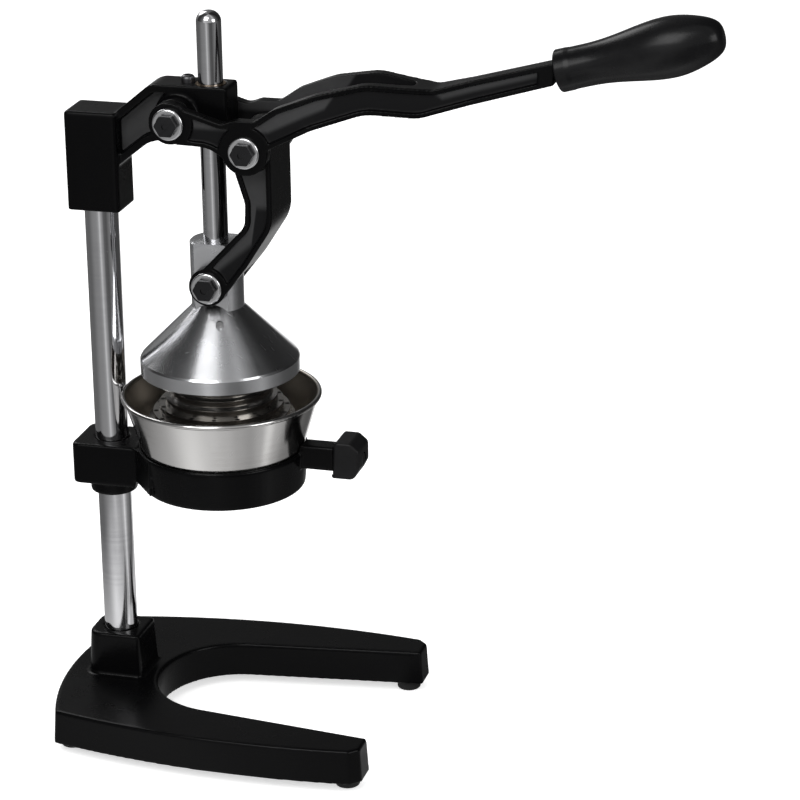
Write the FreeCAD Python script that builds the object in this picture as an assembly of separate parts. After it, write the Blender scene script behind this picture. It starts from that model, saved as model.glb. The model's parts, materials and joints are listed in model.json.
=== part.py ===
import FreeCAD, Part
import math
import os
from FreeCAD import Vector as V

# Lever citrus juice press, standing on its four feet.
# Millimetres. X runs from the column to the handle, Y across the press, Z up.
# The working coordinates have the column's axis at X 0, Y 0 and the floor at Z 0.
# The last step shifts every piece so that the origin lies under the middle of the press.

# Fits and clearances
running_fit = 0.05
seat_gap = 0.3
press_gap = 0.02
thread_gap = 0.05

# Base
foot_diameter = 16.0
foot_height = 7.0
foot_screw_head = 8.0
foot_screw_shank = 4.0
foot_screw_length = 14.0
base_thickness = 23.0
base_draft = 1.2
base_wall = 4.5
base_deck = 5.0
base_back_bulge = 15.5
base_back_x = -20.0
base_back_half = 79.5
base_belly_x = 110.0
base_belly_half = 94.5
base_front_x = 192.0
base_front_half = 89.5
leg_end_inner_half = 65.0
leg_end_chamfer = 6.0
bay_radius = 51.0
bay_centre_x = 80.0
base_rib = 4.0
base_rib_count = 3
back_foot_run = 7.0
back_foot_inset = 16.0
front_foot_run = 12.0
front_foot_inset = 15.0
socket_length = 36.0
socket_width = 34.0
socket_rise = 30.0
socket_draft = 1.5
socket_floor = 6.0
socket_recess = 9.0

# Column
column_diameter = 22.0
column_chamfer = 1.0
column_bolt = 8.0
column_bolt_head = 13.0
column_bolt_head_height = 5.3
column_bolt_grip = 20.0
column_washer_diameter = 20.0
washer_thickness = 2.0

# Set screws
set_screw_diameter = 8.0
set_screw_socket = 4.0
set_screw_recess = 0.5

# Head
head_length = 35.0
head_depth = 30.0
head_drop = 65.5
head_height = 65.5
head_socket_roof = 10.0
arm_half = 12.0
arm_web_half = 5.0
arm_flange = 5.0
arm_rise = 20.0
throat = 77.0
guide_back = 15.0
guide_front = 14.0
guide_height = 31.5
bush_wall = 1.6
guide_screw_diameter = 9.0
guide_screw_height = 4.5
guide_screw_offset = 15.0

# Pivots, seen from the side
pivot_reach = 58.5
pivot_height = 420.5
crank_run = 49.0
crank_drop = 15.5
yoke_drop = 93.3
pin_diameter = 10.0
thread_diameter = 8.0
hex_across = 13.0
hex_height = 5.3
thin_nut_height = 4.0
cup_washer_diameter = 20.5
cup_washer_height = 2.6
cup_washer_floor = 1.4
cup_washer_rim = 2.8
head_boss_radius = 13.4
lever_main_boss_radius = 13.4
lever_link_boss_radius = 15.0
yoke_link_boss_radius = 13.5
yoke_plunger_boss_radius = 12.3

# Plates across the press, from the hub outwards
hub_flat_half = 13.0
cheek_thickness = 7.9
lever_arm_thickness = 8.0
pocket_depth = 2.2
pocket_flange = 3.2

# Lever and grip
handle_start_x = 297.5
handle_rise = 39.7
handle_angle = 15.4
shaft_half_width = 6.6
shaft_height = 14.0
fork_spread = 0.21
fork_merge = 0.60
fork_neck_half = 10.5
lever_back = [(0.105, 0.525, 20), (0.235, 0.70, 40), (0.395, 0.82, 30), (0.505, 0.785, 20), (0.61, 0.76, 15)]
lever_belly = [(0.085, 0.055, 0), (0.225, 0.295, 40), (0.395, 0.48, 30), (0.565, 0.425, 25)]
tang_diameter = 12.0
tang_length = 84.0
grip_standoff = 3.0
grip_length = 104.5
grip_bore_depth = 88.0
grip_collar_radius = 13.3
grip_swell_radius = 18.5

# Connecting yoke
yoke_wall = 5.0
yoke_front = 14.0
yoke_back = 3.5

# Plunger
rod_diameter = 16.0
rod_stand = 46.5
rod_dome = 7.0
hub_radius = 17.0
hub_height = 44.0
hub_chamfer = 1.0
cone_radius = 51.6
cone_drop = 62.2
cone_band = 10.0
cone_wall = 4.0
rod_seat_height = 38.0
lock_screw_diameter = 5.0
lock_screw_turn = 20.0
lock_screw_rise = 28.0

# Bowl and strainer
bowl_radius = 65.3
bowl_rim_drop = 15.0
bowl_lip = 1.6
bowl_wall = 1.2
bowl_seat_radius = 47.0
bowl_depth = 57.0
bowl_seat_width = 6.0
outlet_radius = 10.0
outlet_throat_drop = 7.0
outlet_bottom_drop = 14.0
strainer_wall = 2.4
strainer_foot_inset = 8.0
strainer_flange_run = 8.5
strainer_flange_height = 4.0
strainer_shoulder = 3.0
strainer_hole_rows = 6
strainer_drop = 35.0
strainer_steps = 9
strainer_step_run = 4.0
strainer_step_rise = 5.0
strainer_hole = 3.2
strainer_hole_count = 16
strainer_slot_count = 12
strainer_slot_width = 5.0
strainer_slot_height = 14.0

# Ring bracket
ring_wall = 2.2
ring_taper = 2.3
ring_floor = 6.0
ring_height = 27.0
ring_ledge_width = 6.0
clamp_back = 22.0
clamp_front = 22.0
clamp_half = 20.0
clamp_drop = 3.0
clamp_height = 28.0
collar_radius = 15.5
collar_drop = 9.0
neck_half = 7.0
neck_lift = 16.5
neck_height = 16.0
neck_reach = 22.0
tenon_length = 10.0
tenon_shoulder = 2.5
front_grip_length = 18.0
front_grip_half = 12.0
front_grip_height = 25.0
front_grip_lift = 3.0
front_grip_chin = 2.5
front_screw_diameter = 5.0
front_screw_head = 9.0
front_screw_head_height = 3.0
front_screw_length = 15.0

# Levels and places worked out from the sizes above
base_bottom = foot_height
base_top = base_bottom + base_thickness
socket_top = base_top + socket_rise
column_radius = column_diameter / 2
column_bottom = base_bottom + socket_recess + socket_floor
head_bottom = pivot_height - head_drop
head_top = head_bottom + head_height
column_top = head_top - head_socket_roof
arm_top = pivot_height + arm_rise
rod_radius = rod_diameter / 2
rod_top = arm_top + rod_stand
pin_radius = pin_diameter / 2
main_pivot = (pivot_reach, pivot_height)
link_pivot = (pivot_reach + crank_run, pivot_height - crank_drop)
plunger_pivot = (throat, link_pivot[1] - yoke_drop)
handle_start_z = pivot_height + handle_rise
cheek_inner = hub_flat_half + seat_gap
cheek_outer = cheek_inner + cheek_thickness
lever_inner = cheek_outer + seat_gap
lever_outer = lever_inner + lever_arm_thickness
cone_bottom = plunger_pivot[1] - cone_drop
cone_top = cone_bottom + cone_band + (cone_radius - hub_radius)
hub_top = cone_top + hub_height
rod_bottom = hub_top - seat_gap - rod_seat_height - 8.0
bowl_rim_height = cone_bottom - bowl_rim_drop
bowl_seat_height = bowl_rim_height - bowl_depth
bowl_slope = (bowl_radius - bowl_lip - bowl_seat_radius) / bowl_depth
strainer_skirt_radius = bowl_seat_radius - strainer_foot_inset
strainer_flange_radius = strainer_skirt_radius + strainer_flange_run
strainer_level = cone_bottom - strainer_drop
ring_bottom = bowl_seat_height - ring_floor
ring_top = ring_bottom + ring_height
ring_radius = bowl_seat_radius + seat_gap + (ring_top - bowl_seat_height) * bowl_slope + ring_wall
clamp_bottom = ring_bottom - clamp_drop
neck_bottom = ring_bottom + neck_lift
origin_shift = V((base_back_x - base_back_bulge + handle_start_x
                  + (grip_standoff + grip_length) * math.cos(math.radians(handle_angle))) / -2, 0, 0)

nodes = {}


def box(x0, x1, y0, y1, z0, z1):
    """A block between two corners."""
    return Part.makeBox(x1 - x0, y1 - y0, z1 - z0, V(x0, y0, z0))


def rod(start, direction, radius, length):
    """A round bar from start along direction."""
    return Part.makeCylinder(radius, length, V(*start), V(*direction))


def crossbar(place, radius, y0, y1):
    """A round bar across the press, its axis through a side-view point."""
    return rod((place[0], y0, place[1]), (0, 1, 0), radius, y1 - y0)


def hexagon(place, across, y0, y1):
    """A hexagonal prism across the press, sharp edges broken by a round bar."""
    reach = across / math.sqrt(3)
    corners = [V(place[0] + reach * math.cos(math.radians(60 * i)), y0,
                 place[1] + reach * math.sin(math.radians(60 * i))) for i in range(7)]
    prism = Part.Face(Part.makePolygon(corners)).extrude(V(0, y1 - y0, 0))
    return prism.common(crossbar(place, reach * 0.97, y0, y1))


def rounded(corners, lift):
    """A face from corners given as (u, v, radius); lift turns u, v into a point in space."""
    count = len(corners)
    edges = []
    last = None
    first = None
    for i in range(count):
        u, v, radius = corners[i]
        here = V(u, v, 0)
        before = V(corners[i - 1][0], corners[i - 1][1], 0)
        after = V(corners[(i + 1) % count][0], corners[(i + 1) % count][1], 0)
        back = (before - here).normalize()
        forth = (after - here).normalize()
        turn = back.getAngle(forth)
        if radius > 0:
            reach = radius / math.tan(turn / 2)
            start = here + back * reach
            end = here + forth * reach
            middle = (back + forth).normalize()
            top = here + middle * (radius / math.sin(turn / 2) - radius)
        else:
            start = here
            end = here
        if last is not None and (start - last).Length > 1e-6:
            edges.append(Part.makeLine(lift(last), lift(start)))
        if radius > 0:
            edges.append(Part.Arc(lift(start), lift(top), lift(end)).toShape())
        if first is None:
            first = start
        last = end
    if (last - first).Length > 1e-6:
        edges.append(Part.makeLine(lift(last), lift(first)))
    return Part.Face(Part.Wire(edges))


def side_plate(corners, y0, y1):
    """A plate across the press with a side-view outline of (x, z, radius) corners."""
    face = rounded(corners, lambda p: V(p.x, y0, p.y))
    return face.extrude(V(0, y1 - y0, 0))


def plan_face(corners, z):
    """A level face from (x, y, radius) corners."""
    return rounded(corners, lambda p: V(p.x, p.y, z))


def mirrored(corners):
    """The corners of one side of the press, then the same mirrored on the other side."""
    return corners + [(x, -y, r) for x, y, r in reversed(corners)]


def both_sides(shape):
    """A shape together with its mirror image across the press."""
    return [shape, shape.mirror(V(0, 0, 0), V(0, 1, 0))]


def turned(points, axis_x=throat):
    """A solid of revolution about a vertical axis from (radius, z) points."""
    wire = Part.makePolygon([V(axis_x + r, 0, z) for r, z in points + points[:1]])
    return Part.Face(wire).revolve(V(axis_x, 0, 0), V(0, 0, 1), 360)


def around(shape, count, axis_x=throat, offset=0.0):
    """Copies of a shape spaced evenly about a vertical axis."""
    copies = []
    for i in range(count):
        copy = shape.copy()
        copy.rotate(V(axis_x, 0, 0), V(0, 0, 1), offset + 360.0 * i / count)
        copies.append(copy)
    return copies


def sheet_profile(points, thickness):
    """A closed outline for a sheet of even thickness whose outer side follows (radius, z) points."""
    inner = []
    for i in range(len(points)):
        normals = []
        for a, b in ((i - 1, i), (i, i + 1)):
            if a >= 0 and b < len(points):
                du = points[b][0] - points[a][0]
                dv = points[b][1] - points[a][1]
                length = math.hypot(du, dv)
                normals.append((-dv / length, du / length))
        nu = sum(n[0] for n in normals) / len(normals)
        nv = sum(n[1] for n in normals) / len(normals)
        scale = thickness / (nu * nu + nv * nv)
        inner.append((points[i][0] + nu * scale, points[i][1] + nv * scale))
    return points + inner[::-1]


def soften(shape, radius, keep):
    """Fillets of one radius on the edges that keep picks."""
    edges = [e for e in shape.Edges if keep(e)]
    return shape.makeFillet(radius, edges)


def level_edge(z):
    """Picks the edges that lie wholly at one height."""
    return lambda e: abs(e.BoundBox.ZMin - z) < 1e-4 and abs(e.BoundBox.ZMax - z) < 1e-4


def base_outline(inset, z):
    """The horseshoe outline of the base at one height, drawn in by inset all round."""
    back_x = base_back_x + inset
    back_half = base_back_half - inset
    belly = base_belly_half - inset
    front_x = base_front_x - inset
    front_half = base_front_half - inset
    inner_half = leg_end_inner_half + inset
    bay = bay_radius + inset
    chamfer = leg_end_chamfer
    reach = math.hypot(front_x - bay_centre_x, inner_half)
    splay = math.atan2(inner_half, front_x - bay_centre_x) - math.asin(bay / reach)
    touch = (bay_centre_x - bay * math.sin(splay), bay * math.cos(splay))

    def p(x, y):
        return V(x, y, z)
    edges = [
        Part.Arc(p(back_x, -back_half), p(back_x - base_back_bulge, 0), p(back_x, back_half)).toShape(),
        Part.Arc(p(back_x, back_half), p(base_belly_x, belly),
                 p(front_x - chamfer, front_half)).toShape(),
        Part.makeLine(p(front_x - chamfer, front_half), p(front_x, front_half - chamfer)),
        Part.makeLine(p(front_x, front_half - chamfer), p(front_x, inner_half)),
        Part.makeLine(p(front_x, inner_half), p(*touch)),
        Part.Arc(p(*touch), p(bay_centre_x - bay, 0), p(touch[0], -touch[1])).toShape(),
        Part.makeLine(p(touch[0], -touch[1]), p(front_x, -inner_half)),
        Part.makeLine(p(front_x, -inner_half), p(front_x, chamfer - front_half)),
        Part.makeLine(p(front_x, chamfer - front_half), p(front_x - chamfer, -front_half)),
        Part.Arc(p(front_x - chamfer, -front_half), p(base_belly_x, -belly),
                 p(back_x, -back_half)).toShape()]
    return Part.Wire(edges)


def foot_places():
    """Where the four feet are fixed under the base."""
    corners = ((base_back_x + back_foot_run, base_back_half - back_foot_inset),
               (base_front_x - front_foot_run, base_front_half - front_foot_inset))
    return [(x, side * half) for x, half in corners for side in (-1, 1)]


def make_base():
    """The cast base: a hollow horseshoe with a socket for the column."""
    body = Part.makeLoft([base_outline(0, base_bottom), base_outline(base_draft, base_top)], True, True)
    body = soften(body, 1.6, level_edge(base_top))
    pocket = Part.Face(base_outline(base_draft + base_wall, base_bottom - 1))
    pocket = pocket.extrude(V(0, 0, base_thickness - base_deck + 1))
    pads = [rod((x, y, base_bottom), (0, 0, 1), foot_diameter / 2 + 1, base_thickness - 1)
            for x, y in foot_places()]
    half = socket_width / 2
    pads.append(box(-socket_length / 2, socket_length / 2, -half, half, base_bottom, base_top))
    for i in range(base_rib_count):
        x = bay_centre_x + (base_front_x - bay_centre_x) * (i - 0.5) / base_rib_count
        pads.append(box(x, x + base_rib, -base_belly_half, base_belly_half, base_bottom, base_top - 1))
    pocket = pocket.cut(Part.makeCompound(pads))
    body = body.cut(pocket)

    def ring(grow, z):
        x = socket_length / 2 + grow
        y = half + grow
        corners = [(x, -y, 3), (x, y, 3), (-x, y, 9), (-x, -y, 9)]
        return plan_face(corners, z).OuterWire
    socket = Part.makeLoft([ring(socket_draft, base_top - 2), ring(0, socket_top)], True, True)
    socket = soften(socket, 1.5, level_edge(socket_top))
    body = body.fuse(socket)
    bore = rod((0, 0, column_bottom), (0, 0, 1), column_radius + running_fit, socket_top)
    hole = rod((0, 0, 0), (0, 0, 1), column_bolt / 2 + 0.3, column_bottom + 1)
    recess = rod((0, 0, 0), (0, 0, 1), column_washer_diameter / 2 + 1, base_bottom + socket_recess)
    screw_z = base_top + socket_rise / 2
    thread = rod((-socket_length, 0, screw_z), (1, 0, 0), set_screw_diameter / 2 + thread_gap,
                 socket_length)
    cuts = [bore, hole, recess, thread]
    for x, y in foot_places():
        cuts.append(rod((x, y, base_bottom - 1), (0, 0, 1), foot_screw_shank / 2 + thread_gap,
                        foot_screw_length))
    return body.cut(Part.makeCompound(cuts)).removeSplitter()


def make_feet():
    """Four round rubber feet, each with a counterbore for its screw."""
    feet = []
    for x, y in foot_places():
        foot = rod((x, y, 0), (0, 0, 1), foot_diameter / 2, foot_height)
        foot = soften(foot, 1.5, level_edge(0))
        foot = foot.cut(rod((x, y, -1), (0, 0, 1), foot_screw_head / 2 + 0.3, 4.4))
        feet.append(foot.cut(rod((x, y, -1), (0, 0, 1), foot_screw_shank / 2 + 0.2, foot_height + 2)))
    return Part.makeCompound(feet)


def make_foot_screws():
    """Four pan head screws that hold the feet."""
    screws = []
    for x, y in foot_places():
        head = rod((x, y, 1.0), (0, 0, 1), foot_screw_head / 2, 2.4)
        head = soften(head, 0.7, level_edge(1.0))
        shank = rod((x, y, 3.0), (0, 0, 1), foot_screw_shank / 2, base_bottom + foot_screw_length - 5)
        slot = box(x - 3, x + 3, y - 0.5, y + 0.5, 0, 1.9)
        screws.append(head.fuse(shank).cut(slot).removeSplitter())
    return Part.makeCompound(screws)


def make_column():
    """The round column, tapped at its foot for the bolt under the base."""
    column = rod((0, 0, column_bottom), (0, 0, 1), column_radius, column_top - column_bottom)
    ends = [e for e in column.Edges if len(e.Vertexes) == 1]
    column = column.makeChamfer(column_chamfer, ends)
    return column.cut(rod((0, 0, column_bottom - 1), (0, 0, 1), column_bolt / 2 + thread_gap,
                          column_bolt_grip + 3))


def make_column_washer():
    """The washer under the column bolt's head."""
    z = base_bottom + socket_recess - washer_thickness
    washer = rod((0, 0, z), (0, 0, 1), column_washer_diameter / 2, washer_thickness)
    return washer.cut(rod((0, 0, z - 1), (0, 0, 1), column_bolt / 2 + 0.3, washer_thickness + 2))


def make_column_bolt():
    """The hexagon bolt that pulls the column into its socket."""
    z = base_bottom + socket_recess - washer_thickness
    reach = column_bolt_head / math.sqrt(3)
    corners = [V(reach * math.cos(math.radians(60 * i)), reach * math.sin(math.radians(60 * i)),
                 z - column_bolt_head_height) for i in range(7)]
    head = Part.Face(Part.makePolygon(corners)).extrude(V(0, 0, column_bolt_head_height))
    shank = rod((0, 0, z - 1), (0, 0, 1), column_bolt / 2,
                washer_thickness + socket_floor + column_bolt_grip + 1)
    return head.fuse(shank).removeSplitter()


def make_set_screw(outer_x, z):
    """A socket set screw that bears on the back of the column."""
    start = outer_x + set_screw_recess
    end = -column_radius - press_gap
    screw = rod((start, 0, z), (1, 0, 0), set_screw_diameter / 2, end - start)
    reach = set_screw_socket / math.sqrt(3)
    corners = [V(start - 1, reach * math.cos(math.radians(60 * i)),
                 z + reach * math.sin(math.radians(60 * i))) for i in range(7)]
    socket = Part.Face(Part.makePolygon(corners)).extrude(V(4, 0, 0))
    return screw.cut(socket)


def make_head():
    """The cast head: column block, arched arm, pivot boss and plunger guide."""
    front = head_length / 2
    half = head_depth / 2
    block = box(-front, front, -half, half, head_bottom, head_top)
    block = soften(block, 2.2, lambda e: e.BoundBox.ZMax > head_bottom + 1)
    guide_x0 = throat - guide_back
    guide_x1 = throat + guide_front
    guide_z0 = arm_top - guide_height
    arm_run = pivot_reach - front
    arm = [(front - 8, head_bottom + 27, 0), (front, head_bottom + 31, 0),
           (front + 0.49 * arm_run, pivot_height - 18.5, 14), (guide_x0, guide_z0, 8), (guide_x1, guide_z0, 2),
           (guide_x1, arm_top, 2), (front + 0.56 * arm_run, arm_top, 14), (front - 1, head_top, 0),
           (front - 8, head_top - 6, 0)]
    beam = side_plate(arm, -arm_half, arm_half)
    face = rounded(arm, lambda p: V(p.x, 0, p.y))
    window = face.makeOffset2D(-arm_flange)
    window = window.extrude(V(0, arm_half + 1, 0))
    window = window.common(box(front, main_pivot[0], 0, arm_half + 1, head_bottom, arm_top))
    window = window.cut(crossbar(main_pivot, head_boss_radius + 2.5, -1, arm_half + 2))
    window.translate(V(0, arm_web_half, 0))
    beam = beam.cut(Part.makeCompound(both_sides(window)))
    boss = crossbar(main_pivot, head_boss_radius, -lever_inner + seat_gap, lever_inner - seat_gap)
    body = block.fuse([beam, boss])
    cuts = [rod((0, 0, head_bottom - 1), (0, 0, 1), column_radius + running_fit,
                column_top + press_gap - head_bottom + 1),
            crossbar(main_pivot, pin_radius + press_gap, -lever_outer, lever_outer),
            rod((throat, 0, guide_z0 - 1), (0, 0, 1), rod_radius + running_fit + bush_wall + press_gap,
                guide_height + 2),
            rod((-head_length, 0, head_bottom + head_height / 3), (1, 0, 0),
                set_screw_diameter / 2 + thread_gap, head_length),
            rod((throat - guide_screw_offset, 0, arm_top - 6), (0, 0, 1), 2.5 + thread_gap, 8)]
    return body.cut(Part.makeCompound(cuts)).removeSplitter()


def make_guide_bush():
    """The bronze bush that the plunger rod slides in."""
    inner = rod_radius + running_fit
    z0 = arm_top - guide_height
    bush = rod((throat, 0, z0), (0, 0, 1), inner + bush_wall, guide_height)
    return bush.cut(rod((throat, 0, z0 - 1), (0, 0, 1), inner, guide_height + 2))


def make_guide_screw():
    """The small button screw on top of the arm behind the guide."""
    place = (throat - guide_screw_offset, 0, arm_top)
    head = rod(place, (0, 0, 1), guide_screw_diameter / 2, guide_screw_height)
    head = soften(head, 2.4, level_edge(arm_top + guide_screw_height))
    shank = rod((place[0], 0, arm_top - 5), (0, 0, 1), 2.5, 6)
    socket = rod((place[0], 0, arm_top + guide_screw_height - 2), (0, 0, 1), 1.5, 3)
    return head.fuse(shank).cut(socket).removeSplitter()


def cup_washer(place, y_face, hole):
    """A dished washer with a raised round rim, lying on the plane y_face on the near side."""
    radius = cup_washer_diameter / 2
    washer = crossbar(place, radius, y_face - cup_washer_height, y_face)
    rim = [e for e in washer.Edges if abs(e.BoundBox.YMin - y_face + cup_washer_height) < 1e-4
           and abs(e.BoundBox.YMax - y_face + cup_washer_height) < 1e-4]
    washer = washer.makeFillet(1.4, rim)
    dish = crossbar(place, radius - cup_washer_rim, y_face - cup_washer_height - 1,
                    y_face - cup_washer_floor)
    return washer.cut([dish, crossbar(place, hole, y_face - cup_washer_height - 1, y_face + 1)])


def hex_head(place, y_face):
    """A hexagon bolt head on the near side with a shallow dimple in its middle."""
    head = hexagon(place, hex_across, y_face - hex_height, y_face)
    return head.cut(crossbar(place, 2.2, y_face - hex_height - 1, y_face - hex_height + 0.8))


def hex_nut(place, y0, y1, thread):
    """A hexagon nut across the press."""
    return hexagon(place, hex_across, y0, y1).cut(crossbar(place, thread, y0 - 1, y1 + 1))


def make_main_pivot():
    """The through bolt, its two washers and its nut at the head pivot."""
    face = -lever_outer - seat_gap
    under = face - cup_washer_floor
    far = -face
    bolt = hex_head(main_pivot, under).fuse([
        crossbar(main_pivot, pin_radius, under, far),
        crossbar(main_pivot, thread_diameter / 2, far - 1, far + cup_washer_floor + hex_height + 1.5)])
    near_washer = cup_washer(main_pivot, face, pin_radius + 0.2)
    far_washer = cup_washer(main_pivot, face, thread_diameter / 2 + 0.2)
    far_washer = far_washer.mirror(V(0, 0, 0), V(0, 1, 0))
    nut = hex_nut(main_pivot, far + cup_washer_floor, far + cup_washer_floor + hex_height,
                  thread_diameter / 2 + thread_gap)
    return bolt.removeSplitter(), Part.makeCompound([near_washer, far_washer]), nut


def make_link_pivot():
    """Bolts, washers and thin nuts that join the lever's arms to the yoke's cheeks."""
    under = -lever_outer - cup_washer_floor
    nut_outer = -cheek_inner + seat_gap
    nut_inner = nut_outer + thin_nut_height
    bolt = hex_head(link_pivot, under).fuse([
        crossbar(link_pivot, pin_radius, under, nut_outer),
        crossbar(link_pivot, thread_diameter / 2, nut_outer - 1, nut_inner)]).removeSplitter()
    washer = cup_washer(link_pivot, -lever_outer, pin_radius + 0.2)
    nut = hex_nut(link_pivot, nut_outer, nut_inner, thread_diameter / 2 + thread_gap)
    return [Part.makeCompound(both_sides(piece)) for piece in (bolt, washer, nut)]


def make_plunger_pivot():
    """Shoulder bolts and washers that join the yoke's cheeks to the plunger hub."""
    under = -cheek_outer - cup_washer_floor
    bolt = hex_head(plunger_pivot, under).fuse(
        crossbar(plunger_pivot, pin_radius, under, -cheek_inner)).removeSplitter()
    washer = cup_washer(plunger_pivot, -cheek_outer, pin_radius + 0.2)
    return [Part.makeCompound(both_sides(piece)) for piece in (bolt, washer)]


def lever_corners():
    """The side outline of the lever from its head pivot to the grip."""
    mx, mz = main_pivot
    lx, lz = link_pivot
    run = handle_start_x - lx
    rise = handle_start_z - lz
    half = shaft_height / 2
    top = [(lx + u * run, lz + v * rise, radius) for u, v, radius in lever_back]
    under = [(lx + u * run, lz + v * rise, radius) for u, v, radius in lever_belly]
    main = lever_main_boss_radius - 0.4
    link = lever_link_boss_radius - 1.0
    return ([(mx - 3, mz + main, 0), (lx - link, lz + link + 3, 10), (lx - 6, lz + link + 6, 5),
             (lx + 7, lz + link + 6, 6)] + top
            + [(handle_start_x + 1, handle_start_z + half, 0), (handle_start_x + 1, handle_start_z - half, 0)]
            + under[::-1] + [(lx, lz - link, 0), (lx - 23, lz + 1.5, 20), (mx + 3, mz - main, 0)])


def lever_plan(inset):
    """The fork's outer outline seen from above, drawn in by inset."""
    run = handle_start_x - link_pivot[0]
    half = lever_outer - inset
    neck = fork_neck_half - inset
    shaft = shaft_half_width - inset
    return mirrored([(0, half, 0), (link_pivot[0] + fork_spread * run, half, 70),
                     (link_pivot[0] + fork_merge * run, neck, 40),
                     (link_pivot[0] + fork_merge * run + 26, shaft, 25), (handle_start_x + 1, shaft, 0)])


def make_lever():
    """The cast lever: two forked arms, arched web section, shaft and tang for the grip."""
    bottom = pivot_height - 60
    rise = 160
    side = side_plate(lever_corners(), -lever_outer, lever_outer)
    bosses = [crossbar(main_pivot, lever_main_boss_radius, -lever_outer, lever_outer),
              crossbar(link_pivot, lever_link_boss_radius, -lever_outer, lever_outer)]
    side = side.fuse(bosses)
    plan = plan_face(lever_plan(0), bottom).extrude(V(0, 0, rise))
    run = handle_start_x - link_pivot[0]
    slot = mirrored([(0, lever_inner, 0), (link_pivot[0] + fork_spread * run, lever_inner, 60),
                     (link_pivot[0] + (fork_merge - 0.06) * run, 5, 4.5)])
    slot = plan_face(slot, bottom).extrude(V(0, 0, rise))
    body = side.common(plan).cut(slot)
    face = rounded(lever_corners(), lambda p: V(p.x, -lever_outer - 1, p.y))
    pocket = face.makeOffset2D(-pocket_flange).extrude(V(0, 2 * lever_outer + 2, 0))
    guards = [crossbar(main_pivot, lever_main_boss_radius + 2, -lever_outer - 2, lever_outer + 2),
              crossbar(link_pivot, lever_link_boss_radius + 2, -lever_outer - 2, lever_outer + 2)]
    pocket = pocket.cut(guards)
    skin = plan.cut(plan_face(lever_plan(pocket_depth), bottom - 1).extrude(V(0, 0, rise + 2)))
    skin = skin.common(box(0, handle_start_x - 9, -lever_outer, lever_outer, bottom, bottom + rise))
    body = body.cut(pocket.common(skin))
    along = V(math.cos(math.radians(handle_angle)), 0, math.sin(math.radians(handle_angle)))
    start = V(handle_start_x, 0, handle_start_z) - along * grip_standoff
    tang = Part.makeCylinder(tang_diameter / 2, tang_length + grip_standoff, start, along)
    body = body.fuse(tang)
    holes = [crossbar(main_pivot, pin_radius + running_fit, -lever_outer - 1, lever_outer + 1),
             crossbar(link_pivot, pin_radius + press_gap, -lever_outer - 1, lever_outer + 1)]
    return body.cut(holes).removeSplitter()


def make_grip():
    """The pear-shaped handle grip, turned about the tang's axis."""
    base = grip_collar_radius
    swell = grip_swell_radius
    curve = Part.BSplineCurve()
    curve.interpolate(Points=[V(base - 0.3, 0, 10), V(base, 0, 26), V(base + 2.4, 0, 45), V(swell, 0, 74),
                              V(swell - 3.2, 0, 90), V(swell - 9.5, 0, grip_length - 2.2),
                              V(0, 0, grip_length)],
                      InitialTangent=V(0, 0, 1), FinalTangent=V(-1, 0, 0))
    edges = [Part.makeLine(V(0, 0, 0), V(base - 1, 0, 0)),
             Part.Arc(V(base - 1, 0, 0), V(base - 0.3, 0, 0.3), V(base, 0, 1)).toShape(),
             Part.makeLine(V(base, 0, 1), V(base, 0, 7)),
             Part.makeLine(V(base, 0, 7), V(base - 0.3, 0, 10)),
             curve.toShape(),
             Part.makeLine(V(0, 0, grip_length), V(0, 0, 0))]
    grip = Part.Face(Part.Wire(edges)).revolve(V(0, 0, 0), V(0, 0, 1), 360)
    grip = grip.cut(rod((0, 0, -1), (0, 0, 1), tang_diameter / 2 + press_gap, grip_bore_depth + 1))
    grip.rotate(V(0, 0, 0), V(0, 1, 0), 90 - handle_angle)
    along = V(math.cos(math.radians(handle_angle)), 0, math.sin(math.radians(handle_angle)))
    grip.translate(V(handle_start_x, 0, handle_start_z) + along * grip_standoff)
    return grip


def yoke_corners():
    """The side outline of one cheek of the connecting yoke."""
    lx, lz = link_pivot
    px, pz = plunger_pivot
    depth = lz - pz
    front = lx + yoke_front
    back = lx - yoke_back
    return [(lx - 7, lz + 10, 0), (lx + 5, lz + 14, 6), (front, lz + 6, 8), (front, lz - 0.54 * depth, 26),
            (lx - 4, lz - 0.84 * depth, 30), (px + 8, pz - 9, 0), (px - 9, pz + 5, 0),
            (back - 0.5, lz - 0.545 * depth, 12), (back, lz - 0.38 * depth, 12), (lx - 12, lz - 8, 0)]


def make_yoke():
    """The curved connecting yoke: two cheeks joined by a wall along their front edge."""
    cheek = side_plate(yoke_corners(), -cheek_outer, -cheek_inner).fuse([
        crossbar(link_pivot, yoke_link_boss_radius, -cheek_outer, -cheek_inner),
        crossbar(plunger_pivot, yoke_plunger_boss_radius, -cheek_outer, -cheek_inner)])
    face = rounded(yoke_corners(), lambda p: V(p.x, -cheek_outer - 1, p.y))
    pocket = face.makeOffset2D(-pocket_flange).extrude(V(0, pocket_depth + 1, 0))
    pocket = pocket.cut([
        crossbar(link_pivot, lever_link_boss_radius + 0.5, -cheek_outer - 2, 0),
        crossbar(plunger_pivot, yoke_plunger_boss_radius + 1, -cheek_outer - 2, 0)])
    cheek = cheek.cut(pocket)
    outer = side_plate(yoke_corners(), -cheek_inner - 1, cheek_inner + 1)
    shifted = outer.copy()
    shifted.translate(V(-yoke_wall, 0, yoke_wall * 0.7))
    wall = outer.cut(shifted)
    keep_x = throat + hub_radius + 4.5
    wall = wall.common(box(keep_x, link_pivot[0] + 40, -cheek_outer, cheek_outer,
                           plunger_pivot[1] - 20, link_pivot[1] + 4))
    body = both_sides(cheek)[0].fuse([both_sides(cheek)[1], wall])
    holes = [crossbar(link_pivot, pin_radius + running_fit, -lever_outer, lever_outer),
             crossbar(plunger_pivot, pin_radius + press_gap, -lever_outer, lever_outer)]
    return body.cut(holes).removeSplitter()


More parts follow.
